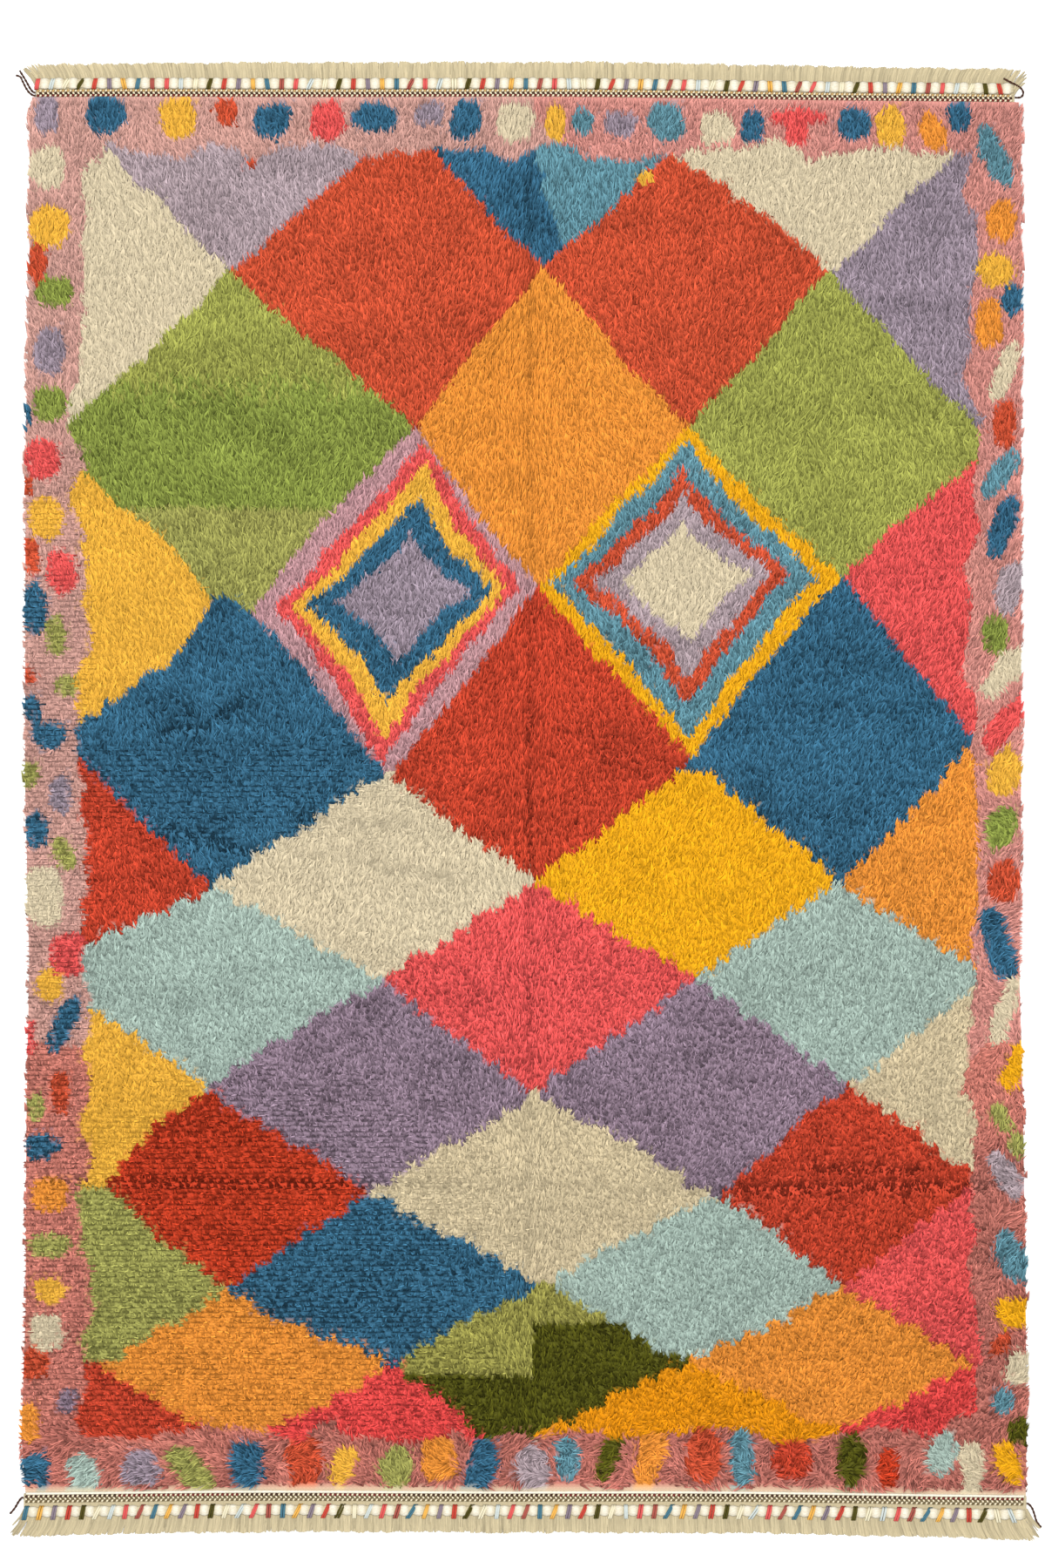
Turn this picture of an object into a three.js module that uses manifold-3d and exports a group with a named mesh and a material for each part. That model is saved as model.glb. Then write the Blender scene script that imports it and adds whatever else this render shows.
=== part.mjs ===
// Tulu rug: a long-piled, hand-knotted wool rug lying flat. Each end is finished with a warp strip and
// fringe, a twined band and a couched cotton cord. Millimetres, +Z up, +Y towards the top end.
import * as THREE from "three";
import { mergeVertices } from "three/addons/utils/BufferGeometryUtils.js";
import Module from "manifold-3d";

const wasm = await Module();
wasm.setup();

// Driving sizes
const GAP = 0.3; // between pieces that lie against each other
const GROUND = 4.5; // thickness of the woven ground with its knot collars
const PILE_TOP = 21; // floor to the tips of the leaning pile
const SWELL = 1.6; // how far the pile rises and sinks around that in broad swells
const LUMP = 1.2; // and how far from one clump of locks to the next
const SKIRT = 9; // flat-woven edge that shows below the pile at the bottom end
const SIDE_LOCKS = 46; // locks of pile along each long side
const LOCK_REACH = 7; // how far a lock stands out from the notch beside it
const FIELD_COLUMNS = 17; // divisions across the pile between its rounded sides
const STRIP = 4; // thickness of the warp strip
const STRIP_STEPS = 14; // divisions of the strip and the bands along the width
const FRINGE_ROOT = 6; // length of each fringe lock that lies inside the strip
const BAND = 4; // height of a twined row
const PILLOW = 9; // height of a cotton pillow between two wraps
const PILLOW_DEPTH = 15; // its size along the rug
const CINCH = 0.72; // share of that size left where a wrap draws the cord in
const EDGE_CORD = 4; // diameter of the thin cotton cord
const EDGE_STEPS = 36; // divisions of that cord along the width
const TAIL = 3; // diameter of a loose end of twining yarn

// How the two ends are laid out, outwards from the line where each meets the rug
// skew: how much lower the right-hand corner lies than the middle
// left, right: extra length of the fringe at the two corners
const ENDS = {
  top: {
    side: 1, joint: 1172, skew: 3.8, bandStart: 0, bandDepth: 12, bandRows: 2, cordDepth: 21,
    fringe: 24, left: 0, right: -2, rootHalf: 818, tipHalf: 836, bundles: 68,
  },
  bottom: {
    side: -1, joint: -1156, skew: 2.3, bandStart: 2.6, bandDepth: 18, bandRows: 3, cordDepth: 24,
    fringe: 19, left: 7, right: 11, rootHalf: 838, tipHalf: 858, bundles: 70,
  },
};

// The long sides, by share of the length from the bottom: distance of each from the middle line
const SIDES = [
  { share: 0.0, left: 842, right: 844 },
  { share: 0.04, left: 849, right: 845 },
  { share: 0.13, left: 842, right: 844 },
  { share: 0.26, left: 841, right: 840 },
  { share: 0.38, left: 836, right: 833 },
  { share: 0.51, left: 843, right: 836 },
  { share: 0.76, left: 842, right: 836 },
  { share: 0.88, left: 835, right: 835 },
  { share: 0.98, left: 836, right: 836 },
  { share: 1.0, left: 831, right: 832 },
];

// Creases left by folding, soft troughs from one point to another
const CREASES = [
  { name: "middle fold", x0: 7, y0: -840, x1: 7, y1: 1080, depth: 3, width: 26 },
  { name: "cross fold, left", x0: -800, y0: -650, x1: 0, y1: -655, depth: 3.5, width: 24 },
  { name: "cross fold, right", x0: 0, y0: -655, x1: 800, y1: -648, depth: 5, width: 24 },
  { name: "left pucker", x0: -606, y0: 112, x1: -532, y1: 116, depth: 4, width: 20 },
  { name: "left pucker, upper end", x0: -532, y0: 116, x1: -474, y1: 166, depth: 4, width: 20 },
  { name: "low wrinkle, left", x0: -600, y0: -51, x1: -451, y1: -92, depth: 4, width: 22 },
  { name: "low wrinkle, middle", x0: -394, y0: -86, x1: -112, y1: -137, depth: 3, width: 24 },
];

// Profiles from an edge inwards: distance from it, and share of the pile's height reached there
const SIDE_PROFILE = [
  { inset: 0, rise: 0.22 },
  { inset: 13, rise: 0.8 },
  { inset: 42, rise: 1 },
];
const BOTTOM_PROFILE = [
  { inset: 0, rise: 0 },
  { inset: SKIRT, rise: 0 },
  { inset: SKIRT + 3, rise: 0.6 },
  { inset: SKIRT + 16, rise: 0.95 },
];
const TOP_PROFILE = [
  { inset: 16, rise: 0.7 },
  { inset: 0, rise: 0.12 },
];
const FULL_PILE = 34; // distance from either end at which the pile has its full height

// The fringe lock's width as a share of the pitch, and its thickness, from root to tip
const FRINGE_LOCK = [
  { share: 0, width: 0.6, thick: 3.4 },
  { share: 0.6, width: 0.84, thick: 7 },
  { share: 1, width: 0.4, thick: 3 },
];

// Routes of the loose yarn ends: out of a band's end, then down to the floor or over the cord
const TAILS = {
  top_left_yarn_tail_1: [
    [-818.5, 1179.2, 6.4], [-822.5, 1179.8, 6.2], [-829, 1184.5, 4.6], [-835, 1193, 2.6],
    [-840.5, 1204, 1.7], [-844.5, 1211.5, 1.7], [-851.5, 1214, 1.7],
  ],
  top_left_yarn_tail_2: [
    [-818.6, 1184.4, 6.4], [-822, 1185, 6.2], [-827.5, 1191.5, 4.2], [-832.5, 1200.5, 2.4],
    [-838, 1210, 1.7], [-845.5, 1222, 1.7],
  ],
  top_right_yarn_tail: [
    [818.6, 1176, 6.4], [822.5, 1175.8, 6.2], [829.5, 1177.5, 4.4], [833, 1184, 3.2],
    [830, 1191, 3.4], [822, 1196.5, 5.5], [812, 1201, 6.9], [799.5, 1207.5, 7.9],
  ],
  bottom_left_yarn_tail: [
    [-838.6, -1163, 6.4], [-842, -1164, 6.2], [-847.5, -1171.5, 4.2],
    [-852.5, -1180, 2.2], [-857, -1186, 1.7], [-861.5, -1191, 1.7],
  ],
  bottom_right_yarn_tail: [
    [838.6, -1173, 6.4], [842, -1174, 6.2], [847.5, -1181, 4.2], [851.5, -1191, 2.2],
    [855.5, -1203.5, 1.7], [863, -1213.5, 1.7],
  ],
};

const WOOL = new THREE.MeshStandardMaterial({ color: 0xcf7f6e, roughness: 0.95, metalness: 0 });
const WARP = new THREE.MeshStandardMaterial({ color: 0xd8ccab, roughness: 0.95, metalness: 0 });
const COTTON = new THREE.MeshStandardMaterial({ color: 0xf1ede2, roughness: 0.9, metalness: 0 });
const TWINE = new THREE.MeshStandardMaterial({ color: 0x9a7248, roughness: 0.9, metalness: 0 });
const TAIL_YARN = new THREE.MeshStandardMaterial({ color: 0x4a2a26, roughness: 0.95, metalness: 0 });

const { lerp } = THREE.MathUtils;

// A repeatable unevenness from 0 to 1 for any whole number
function uneven(number) {
  const wave = Math.sin(number * 127.1 + 11.7) * 43758.5453;
  return wave - Math.floor(wave);
}

// A closed body from its points and its triangles
function body(points, triangles) {
  const geometry = new THREE.BufferGeometry();
  geometry.setAttribute("position", new THREE.Float32BufferAttribute(points.flat(), 3));
  geometry.setIndex(triangles.flat());
  return geometry;
}

// Two triangles between four corners
const quad = (a, b, c, d) => [[a, b, c], [a, c, d]];

// Triangles over a flat ring of points, in the ring's own turning sense
function capRing(ring) {
  const span = (axis) => Math.max(...ring.map((p) => p[axis])) - Math.min(...ring.map((p) => p[axis]));
  const [, wide, wider] = [0, 1, 2].sort((a, b) => span(a) - span(b));
  const outline = ring.map((p) => new THREE.Vector2(p[wide], p[wider]));
  const faces = THREE.ShapeUtils.triangulateShape(outline, []);
  return THREE.ShapeUtils.isClockWise(outline) ? faces.map((face) => face.toReversed()) : faces;
}

// A body through a row of rings of points, closed by a flat cap at both ends
function loft(rings) {
  const count = rings[0].length;
  const triangles = [];
  for (let ring = 0; ring < rings.length - 1; ring++) {
    for (let point = 0; point < count; point++) {
      const next = (point + 1) % count;
      const near = ring * count;
      const far = near + count;
      triangles.push(...quad(near + point, near + next, far + next, far + point));
    }
  }
  const last = (rings.length - 1) * count;
  for (const [a, b, c] of capRing(rings[0])) {
    triangles.push([c, b, a], [last + a, last + b, last + c]);
  }
  return body(rings.flat(), triangles);
}

// Join bodies that share some of their volume into one
function fuse(geometries) {
  const solids = geometries.map((geometry) => {
    geometry.deleteAttribute("normal");
    geometry.deleteAttribute("uv");
    const merged = mergeVertices(geometry, 1e-4);
    return new wasm.Manifold(new wasm.Mesh({
      numProp: 3,
      vertProperties: new Float32Array(merged.attributes.position.array),
      triVerts: new Uint32Array(merged.index.array),
    }));
  });
  const joined = solids.reduce((whole, solid) => whole.add(solid)).getMesh();
  const geometry = new THREE.BufferGeometry();
  geometry.setAttribute("position", new THREE.BufferAttribute(joined.vertProperties, 3));
  geometry.setIndex(new THREE.BufferAttribute(joined.triVerts, 1));
  return geometry;
}

// The line where an end finish meets the rug, lower at the right-hand corner and a little wavy
function endLine(end, x) {
  return end.joint - (end.skew * x) / end.rootHalf + 0.8 * Math.sin(x / 130 + end.side);
}

// How far out a long side lies at a share of the length
function sideAt(share, side) {
  const after = Math.max(1, SIDES.findIndex((row) => row.share >= share));
  const [low, high] = [SIDES[after - 1], SIDES[after]];
  return lerp(low[side], high[side], (share - low.share) / (high.share - low.share));
}

// Height of the pile away from its edges: swells and dips, less the creases
function pileHeight(x, y) {
  const swell = Math.sin(x / 61 + 1.3 * Math.sin(y / 143)) * Math.sin(y / 67 + 0.9 * Math.sin(x / 119));
  let height = PILE_TOP + SWELL * swell;
  for (const crease of CREASES) {
    const line = new THREE.Line3(
      new THREE.Vector3(crease.x0, crease.y0, 0), new THREE.Vector3(crease.x1, crease.y1, 0));
    const point = new THREE.Vector3(x, y, 0);
    const away = line.closestPointToPoint(point, true, new THREE.Vector3()).distanceTo(point);
    height -= crease.depth * Math.exp(-((away / crease.width) ** 2));
  }
  return height;
}

// Rows of the rug body from the bottom joint to the top one, with two rows to each lock of the sides
function bodyRows() {
  const length = ENDS.top.joint - ENDS.bottom.joint;
  const first = SKIRT + FULL_PILE;
  const step = (length - first - FULL_PILE) / (2 * SIDE_LOCKS);
  const rows = BOTTOM_PROFILE.map(({ inset, rise }) => ({ share: inset / length, rise, tip: 1 }));
  for (let row = 0; row <= 2 * SIDE_LOCKS; row++) {
    rows.push({ share: (first + row * step) / length, rise: 1, tip: row % 2 });
  }
  rows.push(...TOP_PROFILE.map(({ inset, rise }) => ({ share: 1 - inset / length, rise, tip: 1 })));
  return rows;
}

// The rug body: a grid over the lumpy pile, a low wall around it and a flat underside
function rugBody() {
  const rows = bodyRows();
  const inner = SIDE_PROFILE.at(-1).inset;
  const fieldColumns = Array.from({ length: FIELD_COLUMNS - 1 }, (_, k) => (
    { across: (k + 1) / FIELD_COLUMNS, inset: 0, rise: 1 }
  ));
  const columns = [
    ...SIDE_PROFILE.map(({ inset, rise }) => ({ across: 0, inset, rise })),
    ...fieldColumns,
    ...SIDE_PROFILE.toReversed().map(({ inset, rise }) => ({ across: 1, inset: -inset, rise })),
  ];
  const points = [];
  rows.forEach((row, r) => {
    const notch = (1 - row.tip) * LOCK_REACH;
    const left = -sideAt(row.share, "left") + notch * (0.5 + 0.5 * uneven(r));
    const right = sideAt(row.share, "right") - notch * (0.5 + 0.5 * uneven(r + 500));
    columns.forEach((column, c) => {
      const isField = column.across > 0 && column.across < 1;
      const x = isField
        ? lerp(left + inner, right - inner, column.across)
        : lerp(left, right, column.across) + column.inset;
      const overhang = r === 2 && c % 2 ? 0.8 * SKIRT * uneven(c + 900) : 0;
      const y = lerp(endLine(ENDS.bottom, x), endLine(ENDS.top, x), row.share) - overhang;
      const lump = LUMP * (2 * uneven(r * columns.length + c) - 1);
      points.push([x, y, GROUND + row.rise * column.rise * (pileHeight(x, y) + lump - GROUND)]);
    });
  });

  const across = columns.length;
  const triangles = [];
  for (let r = 0; r < rows.length - 1; r++) {
    for (let c = 0; c < across - 1; c++) {
      const corner = r * across + c;
      triangles.push(...quad(corner, corner + 1, corner + across + 1, corner + across));
    }
  }

  const rim = [];
  for (let c = 0; c < across; c++) rim.push(c);
  for (let r = 1; r < rows.length; r++) rim.push(r * across + across - 1);
  for (let c = across - 2; c >= 0; c--) rim.push((rows.length - 1) * across + c);
  for (let r = rows.length - 2; r > 0; r--) rim.push(r * across);
  const floor = points.length;
  rim.forEach((corner) => points.push([points[corner][0], points[corner][1], 0]));
  rim.forEach((corner, k) => {
    const next = (k + 1) % rim.length;
    triangles.push(...quad(floor + k, floor + next, rim[next], corner));
  });
  const outline = rim.map((corner) => new THREE.Vector2(points[corner][0], points[corner][1]));
  for (const [a, b, c] of THREE.ShapeUtils.triangulateShape(outline, [])) {
    triangles.push([floor + a, floor + c, floor + b]);
  }
  return body(points, triangles);
}

// A strip along an end: a section of [outward, up] points carried from one corner to the other
function alongEnd(end, section, half, steps) {
  return loft(Array.from({ length: steps + 1 }, (_, k) => {
    const x = end.side * lerp(half, -half, k / steps);
    return section(k).map(([out, up]) => [x, endLine(end, x) + end.side * out, up]);
  }));
}

// The warp strip of an end and its fringe of flat-bottomed locks, splayed at the corners
function fringe(end) {
  const depth = end.bandStart + end.bandDepth + end.cordDepth;
  const pitch = (2 * end.rootHalf) / end.bundles;
  const stripSection = [[GAP, 0], [GAP, STRIP], [depth, STRIP], [depth, 0]];
  const strip = alongEnd(end, () => stripSection, end.rootHalf, STRIP_STEPS);
  const locks = Array.from({ length: end.bundles }, (_, k) => {
    const root = -end.rootHalf + (k + 0.5) * pitch;
    const corner = (root / end.rootHalf) ** 8;
    const splay = Math.sign(root) * corner * (end.tipHalf - end.rootHalf);
    const extra = corner * (root < 0 ? end.left : end.right);
    const length = end.fringe * (0.86 + 0.14 * uneven(k + 40 * end.side)) + extra;
    return loft(FRINGE_LOCK.map(({ share, width, thick }) => {
      const x = root + splay * share;
      const y = endLine(end, root) + end.side * (depth + lerp(-FRINGE_ROOT, length, share));
      const half = (end.side * width * pitch) / 2;
      const crest = 0.75 * half;
      return [[x + half, y, 0], [x - half, y, 0], [x - crest, y, thick], [x + crest, y, thick]];
    }));
  });
  return fuse([strip, ...locks]);
}

// A twined band: one rounded rib for each row of twining
function twinedBand(end) {
  const start = end.bandStart + GAP;
  const rib = (end.bandDepth - GAP) / end.bandRows;
  const base = STRIP + GAP;
  const valley = base + 0.45 * BAND;
  const section = [[start + end.bandRows * rib, base], [start, base]];
  for (let row = 0; row < end.bandRows; row++) {
    const near = start + row * rib;
    section.push([near, valley], [near + 0.28 * rib, base + BAND], [near + 0.72 * rib, base + BAND]);
  }
  section.push([start + end.bandRows * rib, valley]);
  return alongEnd(end, () => section, end.rootHalf, STRIP_STEPS);
}

// The couched cotton cord: full at each pillow, drawn in at each wrap and at its ends
function paddedCord(end) {
  const middle = end.bandStart + end.bandDepth + end.cordDepth / 2;
  const base = STRIP + GAP;
  const section = (k) => {
    const size = k % 2 ? 0.92 + 0.08 * uneven(k) : CINCH;
    const half = (size * PILLOW_DEPTH) / 2;
    const high = size * PILLOW;
    const waist = base + 0.45 * high;
    return [
      [middle + 0.6 * half, base], [middle - 0.6 * half, base], [middle - half, waist],
      [middle - 0.45 * half, base + high], [middle + 0.45 * half, base + high], [middle + half, waist],
    ];
  };
  return alongEnd(end, section, end.rootHalf - 2, 2 * end.bundles);
}

// A round cord along a smooth curve
function roundCord(curve, diameter, steps, sides) {
  const section = new THREE.Shape().absarc(0, 0, diameter / 2, 0, 2 * Math.PI);
  return new THREE.ExtrudeGeometry(section, { extrudePath: curve, steps, curveSegments: sides / 2 });
}

// The thin cotton cord laid over the seam between the skirt and the bottom strip
function edgeCord() {
  const half = ENDS.bottom.rootHalf - 4;
  const rest = Math.max(GROUND, STRIP) + GAP + EDGE_CORD / 2;
  const route = Array.from({ length: EDGE_STEPS + 1 }, (_, k) => {
    const x = lerp(-half, half, k / EDGE_STEPS);
    return new THREE.Vector3(x, endLine(ENDS.bottom, x), rest);
  });
  return roundCord(new THREE.CatmullRomCurve3(route), EDGE_CORD, EDGE_STEPS, 6);
}

// A loose end of twining yarn
function yarnTail(route) {
  const curve = new THREE.CatmullRomCurve3(route.map((point) => new THREE.Vector3(...point)));
  return roundCord(curve, TAIL, Math.round(curve.getLength() / (2.2 * TAIL)), 8);
}

const rug = new THREE.Group();

function piece(name, geometry, material) {
  const mesh = new THREE.Mesh(geometry, material);
  mesh.name = name;
  rug.add(mesh);
}

piece("rug_body", rugBody(), WOOL);
piece("top_fringe", fringe(ENDS.top), WARP);
piece("bottom_fringe", fringe(ENDS.bottom), WARP);
piece("top_twined_band", twinedBand(ENDS.top), TWINE);
piece("bottom_twined_band", twinedBand(ENDS.bottom), TWINE);
piece("top_padded_cord", paddedCord(ENDS.top), COTTON);
piece("bottom_padded_cord", paddedCord(ENDS.bottom), COTTON);
piece("bottom_edge_cord", edgeCord(), COTTON);

// The origin is the middle of the underside of all but the loose ends
const box = new THREE.Box3().setFromObject(rug);
const middle = box.getCenter(new THREE.Vector3());
rug.position.set(-middle.x, -middle.y, 0);

for (const [name, route] of Object.entries(TAILS)) {
  piece(name, yarnTail(route), TAIL_YARN);
}

export default rug;
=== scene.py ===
import bpy
import numpy as np
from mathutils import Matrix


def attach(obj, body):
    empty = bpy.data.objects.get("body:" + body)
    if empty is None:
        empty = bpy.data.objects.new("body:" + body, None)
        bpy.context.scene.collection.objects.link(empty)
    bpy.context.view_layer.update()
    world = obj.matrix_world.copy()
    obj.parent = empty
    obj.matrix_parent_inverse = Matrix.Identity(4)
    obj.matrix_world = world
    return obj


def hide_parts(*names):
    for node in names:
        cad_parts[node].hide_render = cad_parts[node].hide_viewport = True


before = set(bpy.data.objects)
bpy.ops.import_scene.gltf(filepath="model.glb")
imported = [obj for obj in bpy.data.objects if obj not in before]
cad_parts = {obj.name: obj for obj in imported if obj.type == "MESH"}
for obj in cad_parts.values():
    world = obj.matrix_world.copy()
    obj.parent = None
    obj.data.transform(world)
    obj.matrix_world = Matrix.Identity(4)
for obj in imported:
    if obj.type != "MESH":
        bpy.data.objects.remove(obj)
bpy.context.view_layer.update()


# The woven ground
# A weave of undyed wool warps under thick wefts, made from the bottom end up. Every knot of the pile
# is tied into it, so this section also holds the rug's outline, its dyes and the chart of its knots.
GROUND = 0.0042
FLOOR_GAP = 0.0002
SKIRT = 0.0144
GROUND_INSET = 0.007
GROUND_COLUMNS = 104
GROUND_ROWS = 144
BAKE_SPAN = 2.5
# Of each end: which way it faces, where its finish meets the rug, how much that line slopes and bows, and
# half its width
TOP = {"side": 1, "joint": 1.17214, "skew": 0.0042, "bow": 0.0050, "half": 0.818}
BOTTOM = {"side": -1, "joint": -1.15820, "skew": 0.0023, "bow": 0.0045, "half": 0.838}
# How far out the long sides lie, at shares of the way from the bottom to the top
SIDE_SHARE = [0, 0.04, 0.13, 0.26, 0.38, 0.51, 0.76, 0.88, 0.98, 1]
LEFT_SIDE = [0.842, 0.849, 0.842, 0.841, 0.836, 0.843, 0.842, 0.835, 0.836, 0.831]
RIGHT_SIDE = [0.844, 0.845, 0.844, 0.840, 0.833, 0.836, 0.836, 0.835, 0.836, 0.832]

# Each dye as it looks on the rug, in screen values. Some are lots of one dye: pink, coral, salmon and
# rosewood, then red, brick and madder, then rose and ruby, gold and amber, lavender, lilac and mauve,
# and green, fern, leaf and moss.
DYES = {
    "pink": (203, 155, 144),
    "coral": (209, 142, 132),
    "salmon": (208, 128, 114),
    "rosewood": (191, 116, 104),
    "cream": (205, 191, 161),
    "linen": (202, 186, 152),
    "red": (210, 86, 56),
    "brick": (205, 73, 49),
    "madder": (200, 65, 37),
    "rose": (235, 91, 89),
    "ruby": (236, 79, 76),
    "orange": (233, 147, 58),
    "yellow": (229, 173, 63),
    "gold": (233, 168, 26),
    "amber": (231, 149, 19),
    "green": (140, 154, 71),
    "fern": (160, 164, 81),
    "leaf": (162, 162, 88),
    "moss": (161, 157, 80),
    "olive": (87, 87, 23),
    "blue": (58, 108, 137),
    "steel": (100, 147, 161),
    "sky": (163, 183, 173),
    "lavender": (175, 157, 163),
    "lilac": (157, 142, 155),
    "mauve": (150, 129, 146),
    "orchid": (193, 148, 153),
}
DYE = {name: index for index, name in enumerate(DYES)}

# The lattice of lozenges: where their corners meet, right of and above the rug's middle in centimetres,
# by tier from the top. Even tiers meet on columns 0, 2, 4 and 6, odd tiers on columns 1, 3 and 5.
CORNERS = """
    -75.5 116, -19.5 114, 25 108.5, 74.5 112.5
    -49.5 89, 3.5 89.5, 50.5 88.5
    -79.5 60.5, -18.5 62.5, 27 63, 79 59.5
    -46.1 32, 2.3 36.3, 52.5 38
    -78.5 11.5, -23 4.5, 28 7.5, 75 10
    -52.5 -14, 1.5 -13, 52.5 -13.5
    -83 -28, -24 -29.5, 28.5 -29, 77.5 -29
    -53.5 -48, 1.5 -48.5, 54.5 -47.5
    -70 -63.5, -26 -65, 32.5 -65.5, 76 -62.5
    -50 -81.5, 3.5 -80.5, 53 -80.5
    -71.5 -94, -22.5 -94.5, 27 -93, 75 -93.5
    -48 -107.5, -4.5 -108, 53 -105"""
COLUMN_COUNT = 7
COLUMN_GAP = 0.25
# The dye of each lozenge by tier. Even tiers sit on columns 1, 3 and 5, odd tiers on 0, 2, 4 and 6.
CHART = [
    "lavender steel cream",
    "cream red red lilac",
    "green orange fern",
    "yellow left_eye right_eye rose",
    "blue brick blue",
    "brick cream gold orange",
    "sky rose sky",
    "yellow mauve mauve linen",
    "madder linen brick",
    "leaf blue sky rose",
    "orange olive orange",
    "brick ruby amber ruby",
]
# The height of a step in the slanted outlines
STEP = 0.021
# The two lozenges of nested rings: how far their rings are drawn to the right and up in metres, how near
# to the outline that begins, how much they lean and are stretched upwards, and how far out each dye reaches
EYES = {
    "left_eye": {"shift": (0.005, 0.002), "fade": 0.05, "lean": 0.08, "stretch": 0.06, "rings": [
        (0.43, "lilac"), (0.635, "blue"), (0.765, "yellow"), (0.895, "rose"), (2, "orchid")]},
    "right_eye": {"shift": (-0.007, 0.004), "fade": 0.25, "lean": 0, "stretch": 0.02, "rings": [
        (0.435, "cream"), (0.61, "lavender"), (0.735, "red"), (0.91, "steel"), (2, "gold")]},
}
# The edges of the field inside the border: how far along each edge, and how far out it lies there
FIELD = {
    "left": ((0.40, 0.60, 1.045, 1.085), (-0.738, -0.754, -0.750, -0.718)),
    "right": ((-0.95, -0.85, 0.64, 0.70, 0.84, 0.88, 0.98, 1.02),
              (0.767, 0.749, 0.749, 0.730, 0.726, 0.764, 0.764, 0.749)),
    "bottom": ((0.69, 0.72, 0.76), (-1.056, -1.026, -1.012)),
    "top": ((-0.75, 0.75), (1.088, 1.088)),
}
# The border's spots: the dye of each, how far right of and above the rug's middle it lies, how far it
# reaches to the side and up, in centimetres, and its tilt in degrees
TOP_SPOTS = """
    lilac -80 115 2.0 2.9, blue -70 115 3.2 3.4, yellow -58 114.5 3.1 3.5, red -50 115.3 1.9 2.6,
    blue -42 114 2.9 2.9, rose -33 114 2.8 3.1, blue -25.5 114.5 3.8 2.6, lilac -16 115 2.5 1.9,
    blue -10 114 2.5 3.2 20, cream -1.5 113.5 3.1 3.2, yellow 5 113.5 1.6 3.3, steel 9.5 114 1.7 2.3,
    lilac 16 113.5 2.6 2.3, steel 23.5 113.5 2.8 3.2 -25, cream 32 112.5 2.9 2.9, blue 38 113 2.0 2.8,
    rose 45.5 114.5 4.4 1.2, rose 45.5 112.5 1.9 2.6, blue 55 113.5 2.8 2.9, yellow 61 113 2.5 3.2,
    orange 68 112 2.0 3.2 -20, blue 72.5 114.5 1.9 2.5, red -45.7 106.8 0.9 0.6, yellow 20.2 104.3 1.4 1.0"""
RIGHT_SPOTS = """
    steel 78.5 108 1.9 5.2 -25, orange 79.5 97 2.6 3.2, yellow 78.5 89 2.8 2.8, blue 81.5 84 1.9 2.6,
    orange 77.5 80 2.2 3.6, cream 80 72 1.6 5.2 20, red 80 63.5 2.0 3.8, steel 79.5 55 1.7 4.4 35,
    blue 80 46.5 2.0 5.2 22, lavender 81 36 2.2 4.5 15, green 78.5 28 2.0 3.2, cream 80 21.5 2.2 4.9 38,
    rose 80 13 1.9 5.5 35, yellow 80 5 2.6 4.1 25, green 79.5 -4 2.5 3.5 20, red 80 -13 2.8 3.5,
    blue 79 -23.5 2.5 6.1 -15, cream 80 -35 1.7 6.1 20, gold 82 -44 1.9 4.4 25,
    leaf 79.5 -52.5 1.5 2.9 -35, leaf 82 -57 1.7 2.0, lavender 80.5 -62.5 1.9 4.7 -30,
    steel 81.5 -76 2.5 4.7 -30, gold 81.5 -85 2.9 2.6, red 79.5 -90.5 1.3 2.2 30,
    cream 82.5 -94.5 2.2 2.8, steel 80 -100 1.7 2.0, olive 82.5 -105 2.0 2.2"""
LEFT_SPOTS = """
    cream -80 106 3.2 3.2, yellow -79.5 96.5 3.3 3.5, red -81.5 90 1.7 3.3, green -78.5 85.5 3.2 2.5,
    lilac -79.5 75.5 2.6 3.9 10, green -79.5 66.5 2.9 2.9, blue -83.5 64.5 1.0 2.0,
    rose -80.5 57.5 2.9 3.2, red -83 53 0.9 1.7, yellow -80 47.5 2.9 3.5, red -82.5 41 1.5 3.1,
    rose -77.5 38.5 2.6 3.5, blue -82 32.5 2.0 4.2, leaf -78.5 28 1.6 3.6, red -83 21 1.0 1.3,
    leaf -76.5 19.5 2.2 1.7, blue -82.5 15.5 1.5 2.6 -20, blue -79.5 11.5 2.9 2.3, leaf -83 4.5 1.7 2.0,
    lilac -77.5 1 2.0 3.2, blue -81.5 -4.5 1.9 3.2, leaf -77 -8.5 1.7 3.1 -20,
    cream -80.5 -15.5 3.5 4.9, rose -76 -25.5 3.3 3.5, yellow -79.5 -30.5 2.2 2.5,
    blue -77 -37 1.7 4.7 25, rose -83 -39.5 1.2 2.9, red -77.5 -48.5 1.6 3.5, leaf -82 -51 1.5 2.6,
    blue -80.5 -57.5 2.9 2.0, orange -79.5 -65.5 3.1 3.2, leaf -79.5 -74 3.3 2.2,
    yellow -79.5 -81.5 2.6 2.2, cream -80 -88.5 2.9 2.9, red -82 -94 2.5 2.6,
    mauve -76.5 -100 1.7 2.2, orange -83 -104 1.9 3.2"""
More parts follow.
